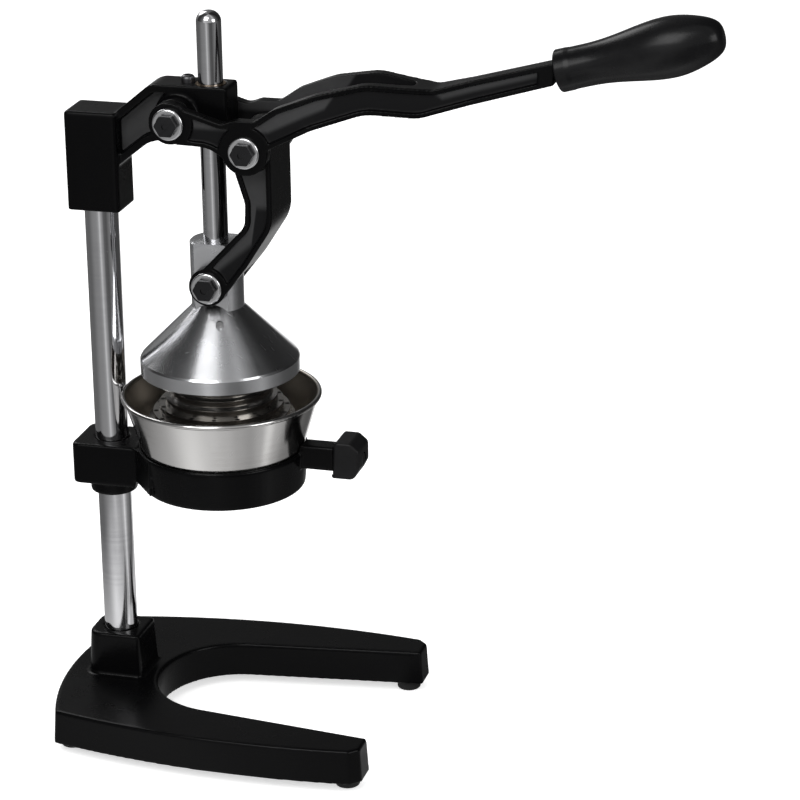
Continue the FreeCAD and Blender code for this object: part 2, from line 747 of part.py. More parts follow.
def make_rod():
    """The plunger rod with its domed top."""
    bar = rod((throat, 0, rod_bottom), (0, 0, 1), rod_radius, rod_top - rod_bottom)
    return soften(bar, rod_dome, level_edge(rod_top))


def lock_screw_axis():
    """Start point on the cone and inward direction of the screw that locks the rod."""
    z = cone_bottom + cone_band + lock_screw_rise
    radius = cone_radius - lock_screw_rise
    turn = math.radians(lock_screw_turn)
    out = V(math.sin(turn), -math.cos(turn), 0)
    return V(throat, 0, z) + out * radius, out * -1, radius


def make_press_cone():
    """The press cone with its open cup below and its flat-sided hub above."""
    band_top = cone_bottom + cone_band
    inner = cone_radius - cone_wall
    roof_r = hub_radius - 2
    roof_z = band_top - 3.5 + (inner - roof_r)
    profile = [(0, hub_top), (hub_radius - hub_chamfer, hub_top), (hub_radius, hub_top - hub_chamfer),
               (hub_radius, cone_top), (cone_radius - 0.8, band_top + 0.8), (cone_radius, band_top - 0.6),
               (cone_radius, cone_bottom + 0.8), (cone_radius - 0.8, cone_bottom),
               (inner + 0.8, cone_bottom), (inner, cone_bottom + 0.8), (inner, band_top - 3.5),
               (roof_r, roof_z), (0, roof_z)]
    body = turned(profile)
    flat_zone = box(throat - 40, throat + 40, -40, -hub_flat_half, cone_top - 4, hub_top + 1)
    under = turned([(0, cone_top - 5), (0, cone_top + 17), (hub_radius, cone_top),
                    (hub_radius + 8, cone_top - 8), (hub_radius + 8, cone_top - 9), (0, cone_top - 9)])
    flat_zone = flat_zone.cut(under)
    body = body.cut(both_sides(flat_zone))
    start, inward, radius = lock_screw_axis()
    cuts = [rod((throat, 0, rod_bottom), (0, 0, 1), rod_radius + press_gap, hub_top),
            Part.makeCylinder(lock_screw_diameter / 2 + thread_gap, radius + 4, start - inward * 4, inward),
            crossbar(plunger_pivot, thread_diameter / 2, -hub_flat_half - 1, -hub_flat_half + 4),
            crossbar(plunger_pivot, thread_diameter / 2, hub_flat_half - 4, hub_flat_half + 1)]
    return body.cut(Part.makeCompound(cuts)).removeSplitter()


def make_lock_screw():
    """The set screw that locks the rod in the hub."""
    start, inward, radius = lock_screw_axis()
    screw = Part.makeCylinder(lock_screw_diameter / 2, radius - rod_radius - press_gap, start, inward)
    socket = Part.makeCylinder(1.2, 2, start - inward, inward)
    return screw.cut(socket)


def bowl_outer():
    """The outer line of the bowl from its outlet up to the lip."""
    seat = bowl_seat_height
    return [(outlet_radius, seat - outlet_bottom_drop), (outlet_radius, seat - outlet_throat_drop),
            (bowl_seat_radius - bowl_seat_width - 3, seat - 1.2), (bowl_seat_radius - bowl_seat_width, seat),
            (bowl_seat_radius, seat), (bowl_radius - bowl_lip, bowl_rim_height - bowl_lip)]


def make_bowl():
    """The stainless bowl with a funnel floor, a bottom outlet and a rolled lip."""
    body = turned(sheet_profile(bowl_outer(), bowl_wall))
    lip = Part.makeTorus(bowl_radius - bowl_lip, bowl_lip, V(throat, 0, bowl_rim_height - bowl_lip))
    return body.fuse(lip).removeSplitter()


def make_strainer():
    """The stepped strainer that stands in the bowl, with drain holes and slots."""
    foot_z = bowl_seat_height + bowl_wall + seat_gap
    skirt = strainer_skirt_radius
    level = strainer_level
    z = level + strainer_flange_height
    outer = [(skirt, foot_z), (skirt, level), (strainer_flange_radius, level), (strainer_flange_radius, z)]
    radius = strainer_flange_radius - strainer_shoulder
    outer += [(radius, z), (radius, z + strainer_step_rise)]
    z += strainer_step_rise
    treads = []
    for i in range(strainer_steps):
        radius -= strainer_step_run
        treads.append((radius, z))
        z += strainer_step_rise
        outer += [(radius, z - strainer_step_rise), (radius, z)]
    tip = radius / 2
    crown = strainer_wall + 0.6
    outer += [(tip, z + crown - 1), (0, z + crown)]
    slope = strainer_step_rise / strainer_step_run
    bore = skirt - strainer_wall
    inner = [(0, z + crown - strainer_wall), (tip, z + crown - 1 - strainer_wall),
             (bore, z + crown - 1 - (bore - tip) * slope), (bore, foot_z)]
    body = turned(outer + inner)
    cuts = []
    for i, (tread, level_z) in enumerate(treads[:strainer_hole_rows]):
        hole = rod((throat + tread + strainer_step_run / 2 + 0.2, 0, level_z - 3 * strainer_step_rise),
                   (0, 0, 1), strainer_hole / 2, 4 * strainer_step_rise)
        cuts += around(hole, strainer_hole_count, offset=(i % 2) * 180.0 / strainer_hole_count)
    slot = box(throat + bore - strainer_wall, throat + skirt + 1, -strainer_slot_width / 2,
               strainer_slot_width / 2, foot_z + strainer_wall, foot_z + strainer_wall + strainer_slot_height)
    cuts += around(slot, strainer_slot_count)
    return body.cut(Part.makeCompound(cuts))


def make_bracket():
    """The ring bracket: tapered ring, column clamp and front neck."""
    wall = bowl_outer()
    seat_r = wall[4][0] + seat_gap

    def seat_line(z):
        return seat_r + (z - bowl_seat_height) * bowl_slope
    ledge_z = bowl_seat_height - seat_gap
    profile = [(ring_radius - ring_taper - 1, ring_bottom), (ring_radius - ring_taper, ring_bottom + 1),
               (ring_radius, ring_top - 1), (ring_radius - 1, ring_top), (seat_line(ring_top), ring_top),
               (seat_line(ledge_z), ledge_z), (seat_r - ring_ledge_width, ledge_z),
               (seat_r - ring_ledge_width, ring_bottom)]
    ring = turned(profile)
    core = turned([(0, ring_bottom - 40), (seat_r - ring_ledge_width, ring_bottom - 40),
                   (seat_r - ring_ledge_width, ledge_z), (seat_line(ledge_z), ledge_z),
                   (seat_line(ring_top + 20), ring_top + 20), (0, ring_top + 20)])
    clamp = plan_face([(-clamp_back, -clamp_half, 5), (clamp_front, -clamp_half, 0),
                       (clamp_front, clamp_half, 0), (-clamp_back, clamp_half, 5)], clamp_bottom)
    clamp = clamp.extrude(V(0, 0, clamp_height))
    clamp = soften(clamp, 1.5, lambda e: level_edge(clamp_bottom)(e)
                   or level_edge(clamp_bottom + clamp_height)(e))
    web = plan_face(mirrored([(6, clamp_half - 1, 0), (clamp_front, clamp_half - 1, 0),
                              (throat - 0.65 * ring_radius, 0.77 * ring_radius, 0)]), ring_bottom + 2)
    web = web.extrude(V(0, 0, ring_height - 4))
    collar = rod((0, 0, clamp_bottom - collar_drop), (0, 0, 1), collar_radius, collar_drop + 2)
    collar = soften(collar, 1.5, level_edge(clamp_bottom - collar_drop))
    neck_start = throat + ring_radius - 5
    neck_end = throat + ring_radius + neck_reach
    neck = box(neck_start, neck_end, -neck_half, neck_half, neck_bottom, neck_bottom + neck_height)
    tenon = box(neck_end - 1, neck_end + tenon_length, -neck_half + tenon_shoulder,
                neck_half - tenon_shoulder, neck_bottom + tenon_shoulder,
                neck_bottom + neck_height - tenon_shoulder)
    body = ring.fuse([clamp, web.cut(core), collar, neck.cut(core), tenon])
    screw_z = clamp_bottom + clamp_height / 2
    middle = neck_bottom + neck_height / 2
    cuts = [core, rod((0, 0, 0), (0, 0, 1), column_radius + running_fit, head_bottom),
            rod((-clamp_back - 5, 0, screw_z), (1, 0, 0), set_screw_diameter / 2 + thread_gap,
                clamp_back),
            rod((neck_end + tenon_length + 1, 0, middle), (-1, 0, 0),
                front_screw_diameter / 2 - 0.5 + thread_gap, tenon_length + 4)]
    return body.cut(cuts).removeSplitter()


def make_front_grip():
    """The block on the end of the neck that steadies the press, with its screw."""
    x0 = throat + ring_radius + neck_reach
    z0 = neck_bottom - front_grip_lift
    middle = neck_bottom + neck_height / 2
    top = z0 + front_grip_height
    outline = [(x0, neck_bottom, 0), (x0 - front_grip_chin, z0, 1.5), (x0 + front_grip_length - 4, z0, 5),
               (x0 + front_grip_length, z0 + 8, 5),
               (x0 + front_grip_length, top - 5, 4), (x0 + front_grip_length - 6, top, 4), (x0 + 1, top, 3)]
    grip = side_plate(outline, -front_grip_half, front_grip_half)
    sides = [e for e in grip.Edges if e.BoundBox.YLength < 1e-4]
    grip = grip.makeFillet(1.8, sides)
    gap = 0.1
    mortise = box(x0 - 1, x0 + tenon_length + gap, -neck_half + tenon_shoulder - gap,
                  neck_half - tenon_shoulder + gap, neck_bottom + tenon_shoulder - gap,
                  neck_bottom + neck_height - tenon_shoulder + gap)
    face = x0 + front_grip_length
    recess = rod((face + 1, 0, middle), (-1, 0, 0), front_screw_head / 2 + 0.3,
                 front_screw_head_height + 1.5)
    hole = rod((face + 1, 0, middle), (-1, 0, 0), front_screw_diameter / 2 + 0.1, front_grip_length)
    head_x = face - front_screw_head_height - 0.5
    head = rod((head_x, 0, middle), (1, 0, 0), front_screw_head / 2, front_screw_head_height)
    end = [e for e in head.Edges if abs(e.BoundBox.XMin - head_x - front_screw_head_height) < 1e-4]
    head = head.makeFillet(1.0, end)
    thread_start = x0 + tenon_length
    shank = rod((head_x + 0.5, 0, middle), (-1, 0, 0), front_screw_diameter / 2, head_x + 0.5 - thread_start)
    tip = rod((thread_start + 1, 0, middle), (-1, 0, 0), front_screw_diameter / 2 - 0.5,
              front_screw_length - (head_x - thread_start))
    slot = box(face - 2, face, -0.6, 0.6, middle - 4, middle + 4)
    screw = head.fuse([shank, tip]).cut(slot).removeSplitter()
    return grip.cut([mortise, recess, hole]).removeSplitter(), screw


nodes["base_casting"] = make_base()
nodes["rubber_feet"] = make_feet()
nodes["foot_screws"] = make_foot_screws()
nodes["column"] = make_column()
nodes["column_washer"] = make_column_washer()
nodes["column_bolt"] = make_column_bolt()
nodes["socket_set_screw"] = make_set_screw(-socket_length / 2, base_top + socket_rise / 2)
nodes["head_casting"] = make_head()
nodes["head_set_screw"] = make_set_screw(-head_length / 2, head_bottom + head_height / 3)
nodes["guide_bush"] = make_guide_bush()
nodes["guide_screw"] = make_guide_screw()
nodes["main_pivot_bolt"], nodes["main_pivot_washers"], nodes["main_pivot_nut"] = make_main_pivot()
nodes["ring_bracket"] = make_bracket()
nodes["bracket_set_screw"] = make_set_screw(-clamp_back, clamp_bottom + clamp_height / 2)
nodes["front_grip"], nodes["front_grip_screw"] = make_front_grip()
nodes["juice_bowl"] = make_bowl()
nodes["strainer"] = make_strainer()
nodes["lever_casting"] = make_lever()
nodes["handle_grip"] = make_grip()
nodes["link_pivot_bolts"], nodes["link_pivot_washers"], nodes["link_pivot_nuts"] = make_link_pivot()
nodes["connecting_yoke"] = make_yoke()
nodes["plunger_pivot_bolts"], nodes["plunger_pivot_washers"] = make_plunger_pivot()
nodes["plunger_rod"] = make_rod()
nodes["press_cone"] = make_press_cone()
nodes["rod_lock_screw"] = make_lock_screw()

os.makedirs("parts", exist_ok=True)
for name, shape in nodes.items():
    shape.translate(origin_shift)
    shape.exportStep("parts/" + name + ".step")
    box_of = shape.BoundBox
    print(name, "solids", len(shape.Solids), "valid", shape.isValid(),
          "volume", round(shape.Volume / 1000, 1),
          "x %.1f %.1f y %.1f %.1f z %.1f %.1f" % (box_of.XMin, box_of.XMax, box_of.YMin, box_of.YMax,
                                                   box_of.ZMin, box_of.ZMax))
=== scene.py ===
"""Looks of a lever citrus juice press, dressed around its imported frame.

Everything is in metres. X runs from the column to the handle, Y across the press, Z up, and the
origin lies under the middle of the press. The pieces come from the frame. This script gives the cast
pieces their soft edges, every piece its finish, and sets the floor, the lamps and the camera.
"""

import json
import logging
import math
from dataclasses import dataclass, field
from enum import Enum

import bpy
from mathutils import Matrix, Vector

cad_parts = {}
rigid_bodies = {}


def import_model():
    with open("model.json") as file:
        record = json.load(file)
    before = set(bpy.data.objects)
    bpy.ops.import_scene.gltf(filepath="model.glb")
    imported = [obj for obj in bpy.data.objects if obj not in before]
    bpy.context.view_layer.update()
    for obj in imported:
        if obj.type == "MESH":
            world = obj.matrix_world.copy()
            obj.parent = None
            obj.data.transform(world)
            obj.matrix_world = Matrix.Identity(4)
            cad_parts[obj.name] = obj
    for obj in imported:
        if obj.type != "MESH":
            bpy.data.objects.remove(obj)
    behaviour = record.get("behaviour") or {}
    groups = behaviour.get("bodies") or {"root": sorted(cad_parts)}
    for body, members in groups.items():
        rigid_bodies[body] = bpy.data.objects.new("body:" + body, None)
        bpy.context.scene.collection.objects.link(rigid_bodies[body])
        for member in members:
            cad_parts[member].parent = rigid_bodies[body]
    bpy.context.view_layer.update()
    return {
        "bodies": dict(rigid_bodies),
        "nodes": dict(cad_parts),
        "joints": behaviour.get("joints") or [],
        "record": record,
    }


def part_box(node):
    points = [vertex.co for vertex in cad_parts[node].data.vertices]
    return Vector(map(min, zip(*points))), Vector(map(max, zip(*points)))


MM = 0.001
LOG = logging.getLogger("juice_press")

# Noise scales in cycles per metre
SPECKLE = 220.0
SAND = 1500.0
CLOUDS = 24.0
DUST = 900.0
RING_GROUPS = 260.0
HAIR_SCALE = (40.0, 1600.0, 90.0)
HAIR_TURN = (0.4, 0.7, 0.3)

# The side that the camera stands on, in degrees about the press
ROOM_TURN = 15.8

# The room's brightness, as (degrees from the camera's side, brightness): far floor, near floor, walls
FLOOR_BANDS = ((-180, 1.0), (-173, 1.0), (-163, 0.07), (-100, 0.08), (-62, 0.19), (-44, 0.2), (-33, 0.28),
               (-24, 0.56), (-10, 0.27), (6, 0.04), (23, 0.01), (42, 0.09), (62, 0.2), (84, 0.07),
               (112, 0.015), (163, 0.02), (173, 1.0), (180, 1.0))
NEAR_BANDS = ((-180, 0.62), (-160, 0.48), (-117, 0.46), (-90, 0.54), (-62, 0.86), (-40, 0.66), (-22, 0.54),
              (-6, 0.42), (16, 0.34), (40, 0.46), (60, 0.84), (80, 0.46), (110, 0.2), (160, 0.06),
              (180, 0.62))
WALL_BANDS = ((-180, 0.16), (-150, 0.22), (-128, 0.2), (-108, 0.03), (-88, 0.05), (-66, 0.12), (-52, 0.24),
              (-38, 0.7), (-20, 0.58), (0, 0.46), (30, 0.36), (50, 0.62), (64, 0.24), (84, 0.07),
              (112, 0.015), (158, 0.03), (180, 0.16))

# Pieces with a variant of their record slot's finish
# The pivot bolts' variant carries a painted dark reflection in its colour.
VARIANTS = {"head_casting": "head_enamel", "lever_casting": "lever_enamel", "connecting_yoke": "yoke_enamel",
            "main_pivot_bolt": "bolt_steel", "link_pivot_bolts": "bolt_steel",
            "plunger_pivot_bolts": "bolt_steel"}


class Edge(Enum):
    """How a piece's edges are broken: its look on a bench."""

    AS_MACHINED = "as machined"
    CAST = "cast"
    FINE_CAST = "fine cast"


# Corners nearer than this are one before a casting gets its new skin
WELD = 0.005 * MM
# The new skin's face size, and how many times it is smoothed
SKINS = {Edge.CAST: (0.9 * MM, 5), Edge.FINE_CAST: (0.7 * MM, 3)}


# Shared node groups


class GroupMaker:
    """Builds a shader node group once and hands it out by name.

    Args:
        name: The group's name.
        inputs: Name, socket type and default of each input.
        outputs: Name and socket type of each output.
    """

    def __init__(self, name: str, inputs: list[tuple], outputs: list[tuple]) -> None:
        """Makes the empty group with its named sockets."""
        self.tree = bpy.data.node_groups.new(name, "ShaderNodeTree")
        for label, kind, default in inputs:
            socket = self.tree.interface.new_socket(label, in_out="INPUT", socket_type=kind)
            socket.default_value = default
        for label, kind in outputs:
            self.tree.interface.new_socket(label, in_out="OUTPUT", socket_type=kind)
        self.source = self.tree.nodes.new("NodeGroupInput").outputs
        self.sink = self.tree.nodes.new("NodeGroupOutput").inputs

    def node(self, kind: str, **settings: object) -> bpy.types.Node:
        """Adds a node and sets its properties."""
        made = self.tree.nodes.new(kind)
        for key, value in settings.items():
            setattr(made, key, value)
        return made

    def link(self, start: bpy.types.NodeSocket, end: bpy.types.NodeSocket) -> None:
        """Joins two sockets."""
        self.tree.links.new(start, end)

    def math(self, operation: str, first: object, second: object = 0.0, clamp: bool = False) -> object:
        """A math node.

        Args:
            operation: Blender's name of the operation.
            first: A socket or a number.
            second: A socket or a number.
            clamp: Whether the result is kept between 0 and 1.

        Returns:
            The result's socket.
        """
        made = self.node("ShaderNodeMath", operation=operation, use_clamp=clamp)
        for i, value in enumerate((first, second)):
            if isinstance(value, (int, float)):
                made.inputs[i].default_value = value
            else:
                self.link(value, made.inputs[i])
        return made.outputs[0]

    def noise(self, vector: object, scale: object, detail: float, roughness: float = 0.5) -> object:
        """A noise texture's value at a scale in cycles per metre."""
        made = self.node("ShaderNodeTexNoise")
        self.link(vector, made.inputs["Vector"])
        made.inputs["Detail"].default_value = detail
        made.inputs["Roughness"].default_value = roughness
        if isinstance(scale, (int, float)):
            made.inputs["Scale"].default_value = scale
        else:
            self.link(scale, made.inputs["Scale"])
        return made.outputs["Fac"]

    def ramp(self, value: object, low: object, high: object) -> object:
        """Spreads a value from low and high to 0 and 1, smoothly and kept between them."""
        made = self.node("ShaderNodeMapRange", interpolation_type="SMOOTHSTEP")
        self.link(value, made.inputs["Value"])
        for key, edge in (("From Min", low), ("From Max", high)):
            if isinstance(edge, (int, float)):
                made.inputs[key].default_value = edge
            else:
                self.link(edge, made.inputs[key])
        return made.outputs["Result"]


def edge_mask_group() -> bpy.types.NodeTree:
    """A mask that is 1 on outer edges, broken up by noise.

    Returns:
        The group, with Width and Break as inputs and Mask as output.
    """
    g = GroupMaker("edge_mask", [("Width", "NodeSocketFloat", 0.8 * MM), ("Break", "NodeSocketFloat", 0.5)],
                   [("Mask", "NodeSocketFloat")])
    bevel = g.node("ShaderNodeBevel", samples=6)
    g.link(g.source["Width"], bevel.inputs["Radius"])
    geometry = g.node("ShaderNodeNewGeometry")
    dot = g.node("ShaderNodeVectorMath", operation="DOT_PRODUCT")
    g.link(bevel.outputs["Normal"], dot.inputs[0])
    g.link(geometry.outputs["Normal"], dot.inputs[1])
    bend = g.math("SUBTRACT", 1.0, dot.outputs["Value"], clamp=True)
    place = g.node("ShaderNodeTexCoord").outputs["Object"]
    speckle = g.ramp(g.noise(place, SPECKLE, 4.0), g.source["Break"], 0.72)
    g.link(g.math("MULTIPLY", g.ramp(bend, 0.04, 0.3), speckle, clamp=True), g.sink["Mask"])
    return g.tree


def paint_skin_group() -> bpy.types.NodeTree:
    """The skin of stoved enamel on a sand casting: long waves, orange peel and dust nibs.

    Returns:
        The group, with Height, Sheen and Dust as outputs.
    """
    g = GroupMaker("paint_skin", [("Peel", "NodeSocketFloat", 420.0), ("Wave", "NodeSocketFloat", 60.0),
                                  ("Sand", "NodeSocketFloat", 0.35)],
                   [("Height", "NodeSocketFloat"), ("Sheen", "NodeSocketFloat"), ("Dust", "NodeSocketFloat")])
    place = g.node("ShaderNodeTexCoord").outputs["Object"]
    wave = g.noise(place, g.source["Wave"], 2.0)
    peel = g.noise(place, g.source["Peel"], 1.0)
    sand = g.math("MULTIPLY", g.noise(place, SAND, 3.0, 0.6), g.source["Sand"])
    low = g.math("ADD", g.math("MULTIPLY", wave, 1.6), g.math("MULTIPLY", peel, 0.5))
    g.link(g.math("ADD", low, sand), g.sink["Height"])
    g.link(g.ramp(g.noise(place, CLOUDS, 5.0, 0.6), 0.35, 0.7), g.sink["Sheen"])
    normal = g.node("ShaderNodeSeparateXYZ")
    g.link(g.node("ShaderNodeNewGeometry").outputs["Normal"], normal.inputs[0])
    upward = g.ramp(normal.outputs["Z"], 0.55, 0.98)
    specks = g.ramp(g.noise(place, DUST, 6.0, 0.7), 0.56, 0.75)
    g.link(g.math("MULTIPLY", upward, specks), g.sink["Dust"])
    return g.tree


def lathe_marks_group() -> bpy.types.NodeTree:
    """Fine rings about an upright axis through Centre, as a cutting tool or polishing belt leaves them.

    Returns:
        The group, with Height and Streak as outputs.
    """
    g = GroupMaker("lathe_marks", [("Centre", "NodeSocketVector", (0.0, 0.0, 0.0)),
                                   ("Pitch", "NodeSocketFloat", 2200.0), ("Slope", "NodeSocketFloat", 1.0)],
                   [("Height", "NodeSocketFloat"), ("Streak", "NodeSocketFloat")])
    place = g.node("ShaderNodeTexCoord").outputs["Object"]
    shifted = g.node("ShaderNodeVectorMath", operation="SUBTRACT")
    g.link(place, shifted.inputs[0])
    g.link(g.source["Centre"], shifted.inputs[1])
    parts = g.node("ShaderNodeSeparateXYZ")
    g.link(shifted.outputs[0], parts.inputs[0])
    flat = g.node("ShaderNodeCombineXYZ")
    g.link(parts.outputs["X"], flat.inputs["X"])
    g.link(parts.outputs["Y"], flat.inputs["Y"])
    radius = g.node("ShaderNodeVectorMath", operation="LENGTH")
    g.link(flat.outputs[0], radius.inputs[0])
    along = g.math("ADD", parts.outputs["Z"], g.math("MULTIPLY", radius.outputs["Value"], g.source["Slope"]))
    line = g.node("ShaderNodeCombineXYZ")
    g.link(along, line.inputs["X"])
    fine = g.noise(line.outputs[0], g.source["Pitch"], 3.0, 0.7)
    g.link(fine, g.sink["Height"])
    coarse = g.noise(line.outputs[0], RING_GROUPS, 4.0, 0.65)
    g.link(g.ramp(coarse, 0.3, 0.7), g.sink["Streak"])
    return g.tree


def handling_group() -> bpy.types.NodeTree:
    """Faint smears and hairline scratches on bright metal.

    Returns:
        The group, with Smear and Scratch as outputs.
    """
    g = GroupMaker("handling", [("Size", "NodeSocketFloat", 18.0)],
                   [("Smear", "NodeSocketFloat"), ("Scratch", "NodeSocketFloat")])
    place = g.node("ShaderNodeTexCoord").outputs["Object"]
    g.link(g.ramp(g.noise(place, g.source["Size"], 6.0, 0.62), 0.4, 0.75), g.sink["Smear"])
    stretch = g.node("ShaderNodeMapping")
    stretch.inputs["Rotation"].default_value = HAIR_TURN
    stretch.inputs["Scale"].default_value = HAIR_SCALE
    g.link(place, stretch.inputs["Vector"])
    hairs = g.noise(stretch.outputs[0], 1.0, 2.0)
    g.link(g.ramp(hairs, 0.7, 0.79), g.sink["Scratch"])
    return g.tree


def web_mask_group() -> bpy.types.NodeTree:
    """A mask that is 1 on the sunk webs of a casting whose sides face across the press.

    Returns:
        The group, with Half (the outer faces' distance from the middle) and Sink as inputs.
    """
    g = GroupMaker("web_mask", [("Half", "NodeSocketFloat", 12.0 * MM),
                                ("Sink", "NodeSocketFloat", 1.2 * MM)], [("Mask", "NodeSocketFloat")])
    place = g.node("ShaderNodeSeparateXYZ")
    g.link(g.node("ShaderNodeTexCoord").outputs["Object"], place.inputs[0])
    facing = g.node("ShaderNodeSeparateXYZ")
    g.link(g.node("ShaderNodeNewGeometry").outputs["Normal"], facing.inputs[0])
    sideways = g.ramp(g.math("ABSOLUTE", facing.outputs["Y"]), 0.62, 0.92)
    depth = g.math("SUBTRACT", g.source["Half"], g.math("ABSOLUTE", place.outputs["Y"]))
    sunk = g.ramp(depth, g.math("MULTIPLY", g.source["Sink"], 0.6), g.source["Sink"])
    g.link(g.math("MULTIPLY", sideways, sunk), g.sink["Mask"])
    return g.tree


def height_over_group() -> bpy.types.NodeTree:
    """How far a place lies over a line, from 0 at Low to 1 at High.

    Returns:
        The group, with Middle (the line's height), Low and High as inputs and Height as output.
    """
    g = GroupMaker("height_over", [("Middle", "NodeSocketFloat", 0.0), ("Low", "NodeSocketFloat", 0.0),
                                   ("High", "NodeSocketFloat", 1.0 * MM)], [("Height", "NodeSocketFloat")])
    place = g.node("ShaderNodeSeparateXYZ")
    g.link(g.node("ShaderNodeTexCoord").outputs["Object"], place.inputs[0])
    over = g.math("SUBTRACT", place.outputs["Z"], g.source["Middle"])
    g.link(g.ramp(over, g.source["Low"], g.source["High"]), g.sink["Height"])
    return g.tree


def inner_wall_group() -> bpy.types.NodeTree:
    """A mask that is 1 where a round piece faces its own upright axis, which carries a painted shade there.

    Returns:
        The group, with Centre as input and Mask as output.
    """
    g = GroupMaker("inner_wall", [("Centre", "NodeSocketVector", (0.0, 0.0, 0.0))],
                   [("Mask", "NodeSocketFloat")])
    steps = [g.node("ShaderNodeVectorMath", operation=name) for name in ("SUBTRACT", "MULTIPLY", "NORMALIZE")]
    g.link(g.node("ShaderNodeTexCoord").outputs["Object"], steps[0].inputs[0])
    g.link(g.source["Centre"], steps[0].inputs[1])
    g.link(steps[0].outputs[0], steps[1].inputs[0])
    steps[1].inputs[1].default_value = (1.0, 1.0, 0.0)
    g.link(steps[1].outputs[0], steps[2].inputs[0])
    facing = g.node("ShaderNodeVectorMath", operation="DOT_PRODUCT")
    g.link(steps[2].outputs[0], facing.inputs[0])
    g.link(g.node("ShaderNodeNewGeometry").outputs["Normal"], facing.inputs[1])
    g.link(g.ramp(g.math("MULTIPLY", facing.outputs["Value"], -1.0), 0.1, 0.4), g.sink["Mask"])
    return g.tree


def room_bands_group() -> bpy.types.NodeTree:
    """How bright the room is in each direction about the press, as bright metal shows it.

    Returns:
        The group, with Direction as input and Low (far floor), Near (floor close by) and High (walls and
        ceiling) as outputs.
    """
    g = GroupMaker("room_bands", [("Direction", "NodeSocketVector", (0.0, -1.0, 0.0))],
                   [("Low", "NodeSocketFloat"), ("Near", "NodeSocketFloat"),
                    ("High", "NodeSocketFloat")])
    parts = g.node("ShaderNodeSeparateXYZ")
    g.link(g.source["Direction"], parts.inputs[0])
    turn = g.math("ARCTAN2", parts.outputs["X"], g.math("MULTIPLY", parts.outputs["Y"], -1.0))
    turn = g.math("SUBTRACT", g.math("DIVIDE", turn, 2 * math.pi), ROOM_TURN / 360.0 - 0.5)
    share = g.math("FRACT", turn)
    for name, bands in (("Low", FLOOR_BANDS), ("Near", NEAR_BANDS), ("High", WALL_BANDS)):
        ramp = g.node("ShaderNodeValToRGB")
        ramp.color_ramp.interpolation = "EASE"
        g.link(share, ramp.inputs[0])
        stops = ramp.color_ramp.elements
        while len(stops) < len(bands):
            stops.new(0.5)
        for stop, (angle, value) in zip(stops, bands):
            stop.position = angle / 360.0 + 0.5
            stop.color = (value, value, value, 1.0)
        g.link(ramp.outputs["Color"], g.sink[name])
    return g.tree


class Groups:
    """The shared node groups, each built on its first use."""

    makers = {"edge_mask": edge_mask_group, "paint_skin": paint_skin_group,
              "lathe_marks": lathe_marks_group, "handling": handling_group, "web_mask": web_mask_group,
              "inner_wall": inner_wall_group, "height_over": height_over_group,
              "room_bands": room_bands_group}

    @classmethod
    def get(cls, name: str) -> bpy.types.NodeTree:
        """Returns the group of that name."""
        return bpy.data.node_groups.get(name) or cls.makers[name]()


class MaterialMaker:
    """A material with a Principled shader and helpers to place nodes in it.

    Args:
        name: The material's name.
    """

    def __init__(self, name: str) -> None:
        """Starts the material's node tree."""
        self.material = bpy.data.materials.new(name)
        self.material.use_nodes = True
        self.tree = self.material.node_tree
        self.shader = self.tree.nodes["Principled BSDF"]

    def group(self, name: str, **values: object) -> bpy.types.NodeOutputs:
        """Places a shared group and returns its outputs."""
        made = self.tree.nodes.new("ShaderNodeGroup")
        made.node_tree = Groups.get(name)
        for key, value in values.items():
            made.inputs[key].default_value = value
        return made.outputs

    def constants(self, **values: object) -> None:
        """Sets constants on the shader's own sockets, with underscores for spaces."""
        for key, value in values.items():
            self.shader.inputs[key.replace("_", " ")].default_value = value

    def mix_colour(self, mask: object, low: object, high: object) -> bpy.types.NodeSocket:
        """Mixes two colours, or sockets, by a mask."""
        made = self.tree.nodes.new("ShaderNodeMix")
        made.data_type = "RGBA"
        self.tree.links.new(mask, made.inputs[0])
        for i, value in ((6, low), (7, high)):
            if isinstance(value, tuple):
                made.inputs[i].default_value = (*value, 1.0)
            else:
                self.tree.links.new(value, made.inputs[i])
        return made.outputs[2]

    def mix_value(self, mask: object, low: object, high: object) -> bpy.types.NodeSocket:
        """Mixes two numbers, or sockets, by a mask."""
        made = self.tree.nodes.new("ShaderNodeMix")
        self.tree.links.new(mask, made.inputs[0])
        for i, value in ((2, low), (3, high)):
            if isinstance(value, (int, float)):
                made.inputs[i].default_value = value
            else:
                self.tree.links.new(value, made.inputs[i])
        return made.outputs[0]

    def bump(self, height: bpy.types.NodeSocket, depth: float, under: object = None) -> object:
        """A bump from a height, optionally on top of another bump's normal."""
        made = self.tree.nodes.new("ShaderNodeBump")
        made.inputs["Distance"].default_value = depth
        self.tree.links.new(height, made.inputs["Height"])
        if under is not None:
            self.tree.links.new(under, made.inputs["Normal"])
        return made.outputs["Normal"]

    def connect(self, socket: bpy.types.NodeSocket, name: str) -> None:
        """Joins a socket to a named input of the shader."""
        self.tree.links.new(socket, self.shader.inputs[name])


# Finishes


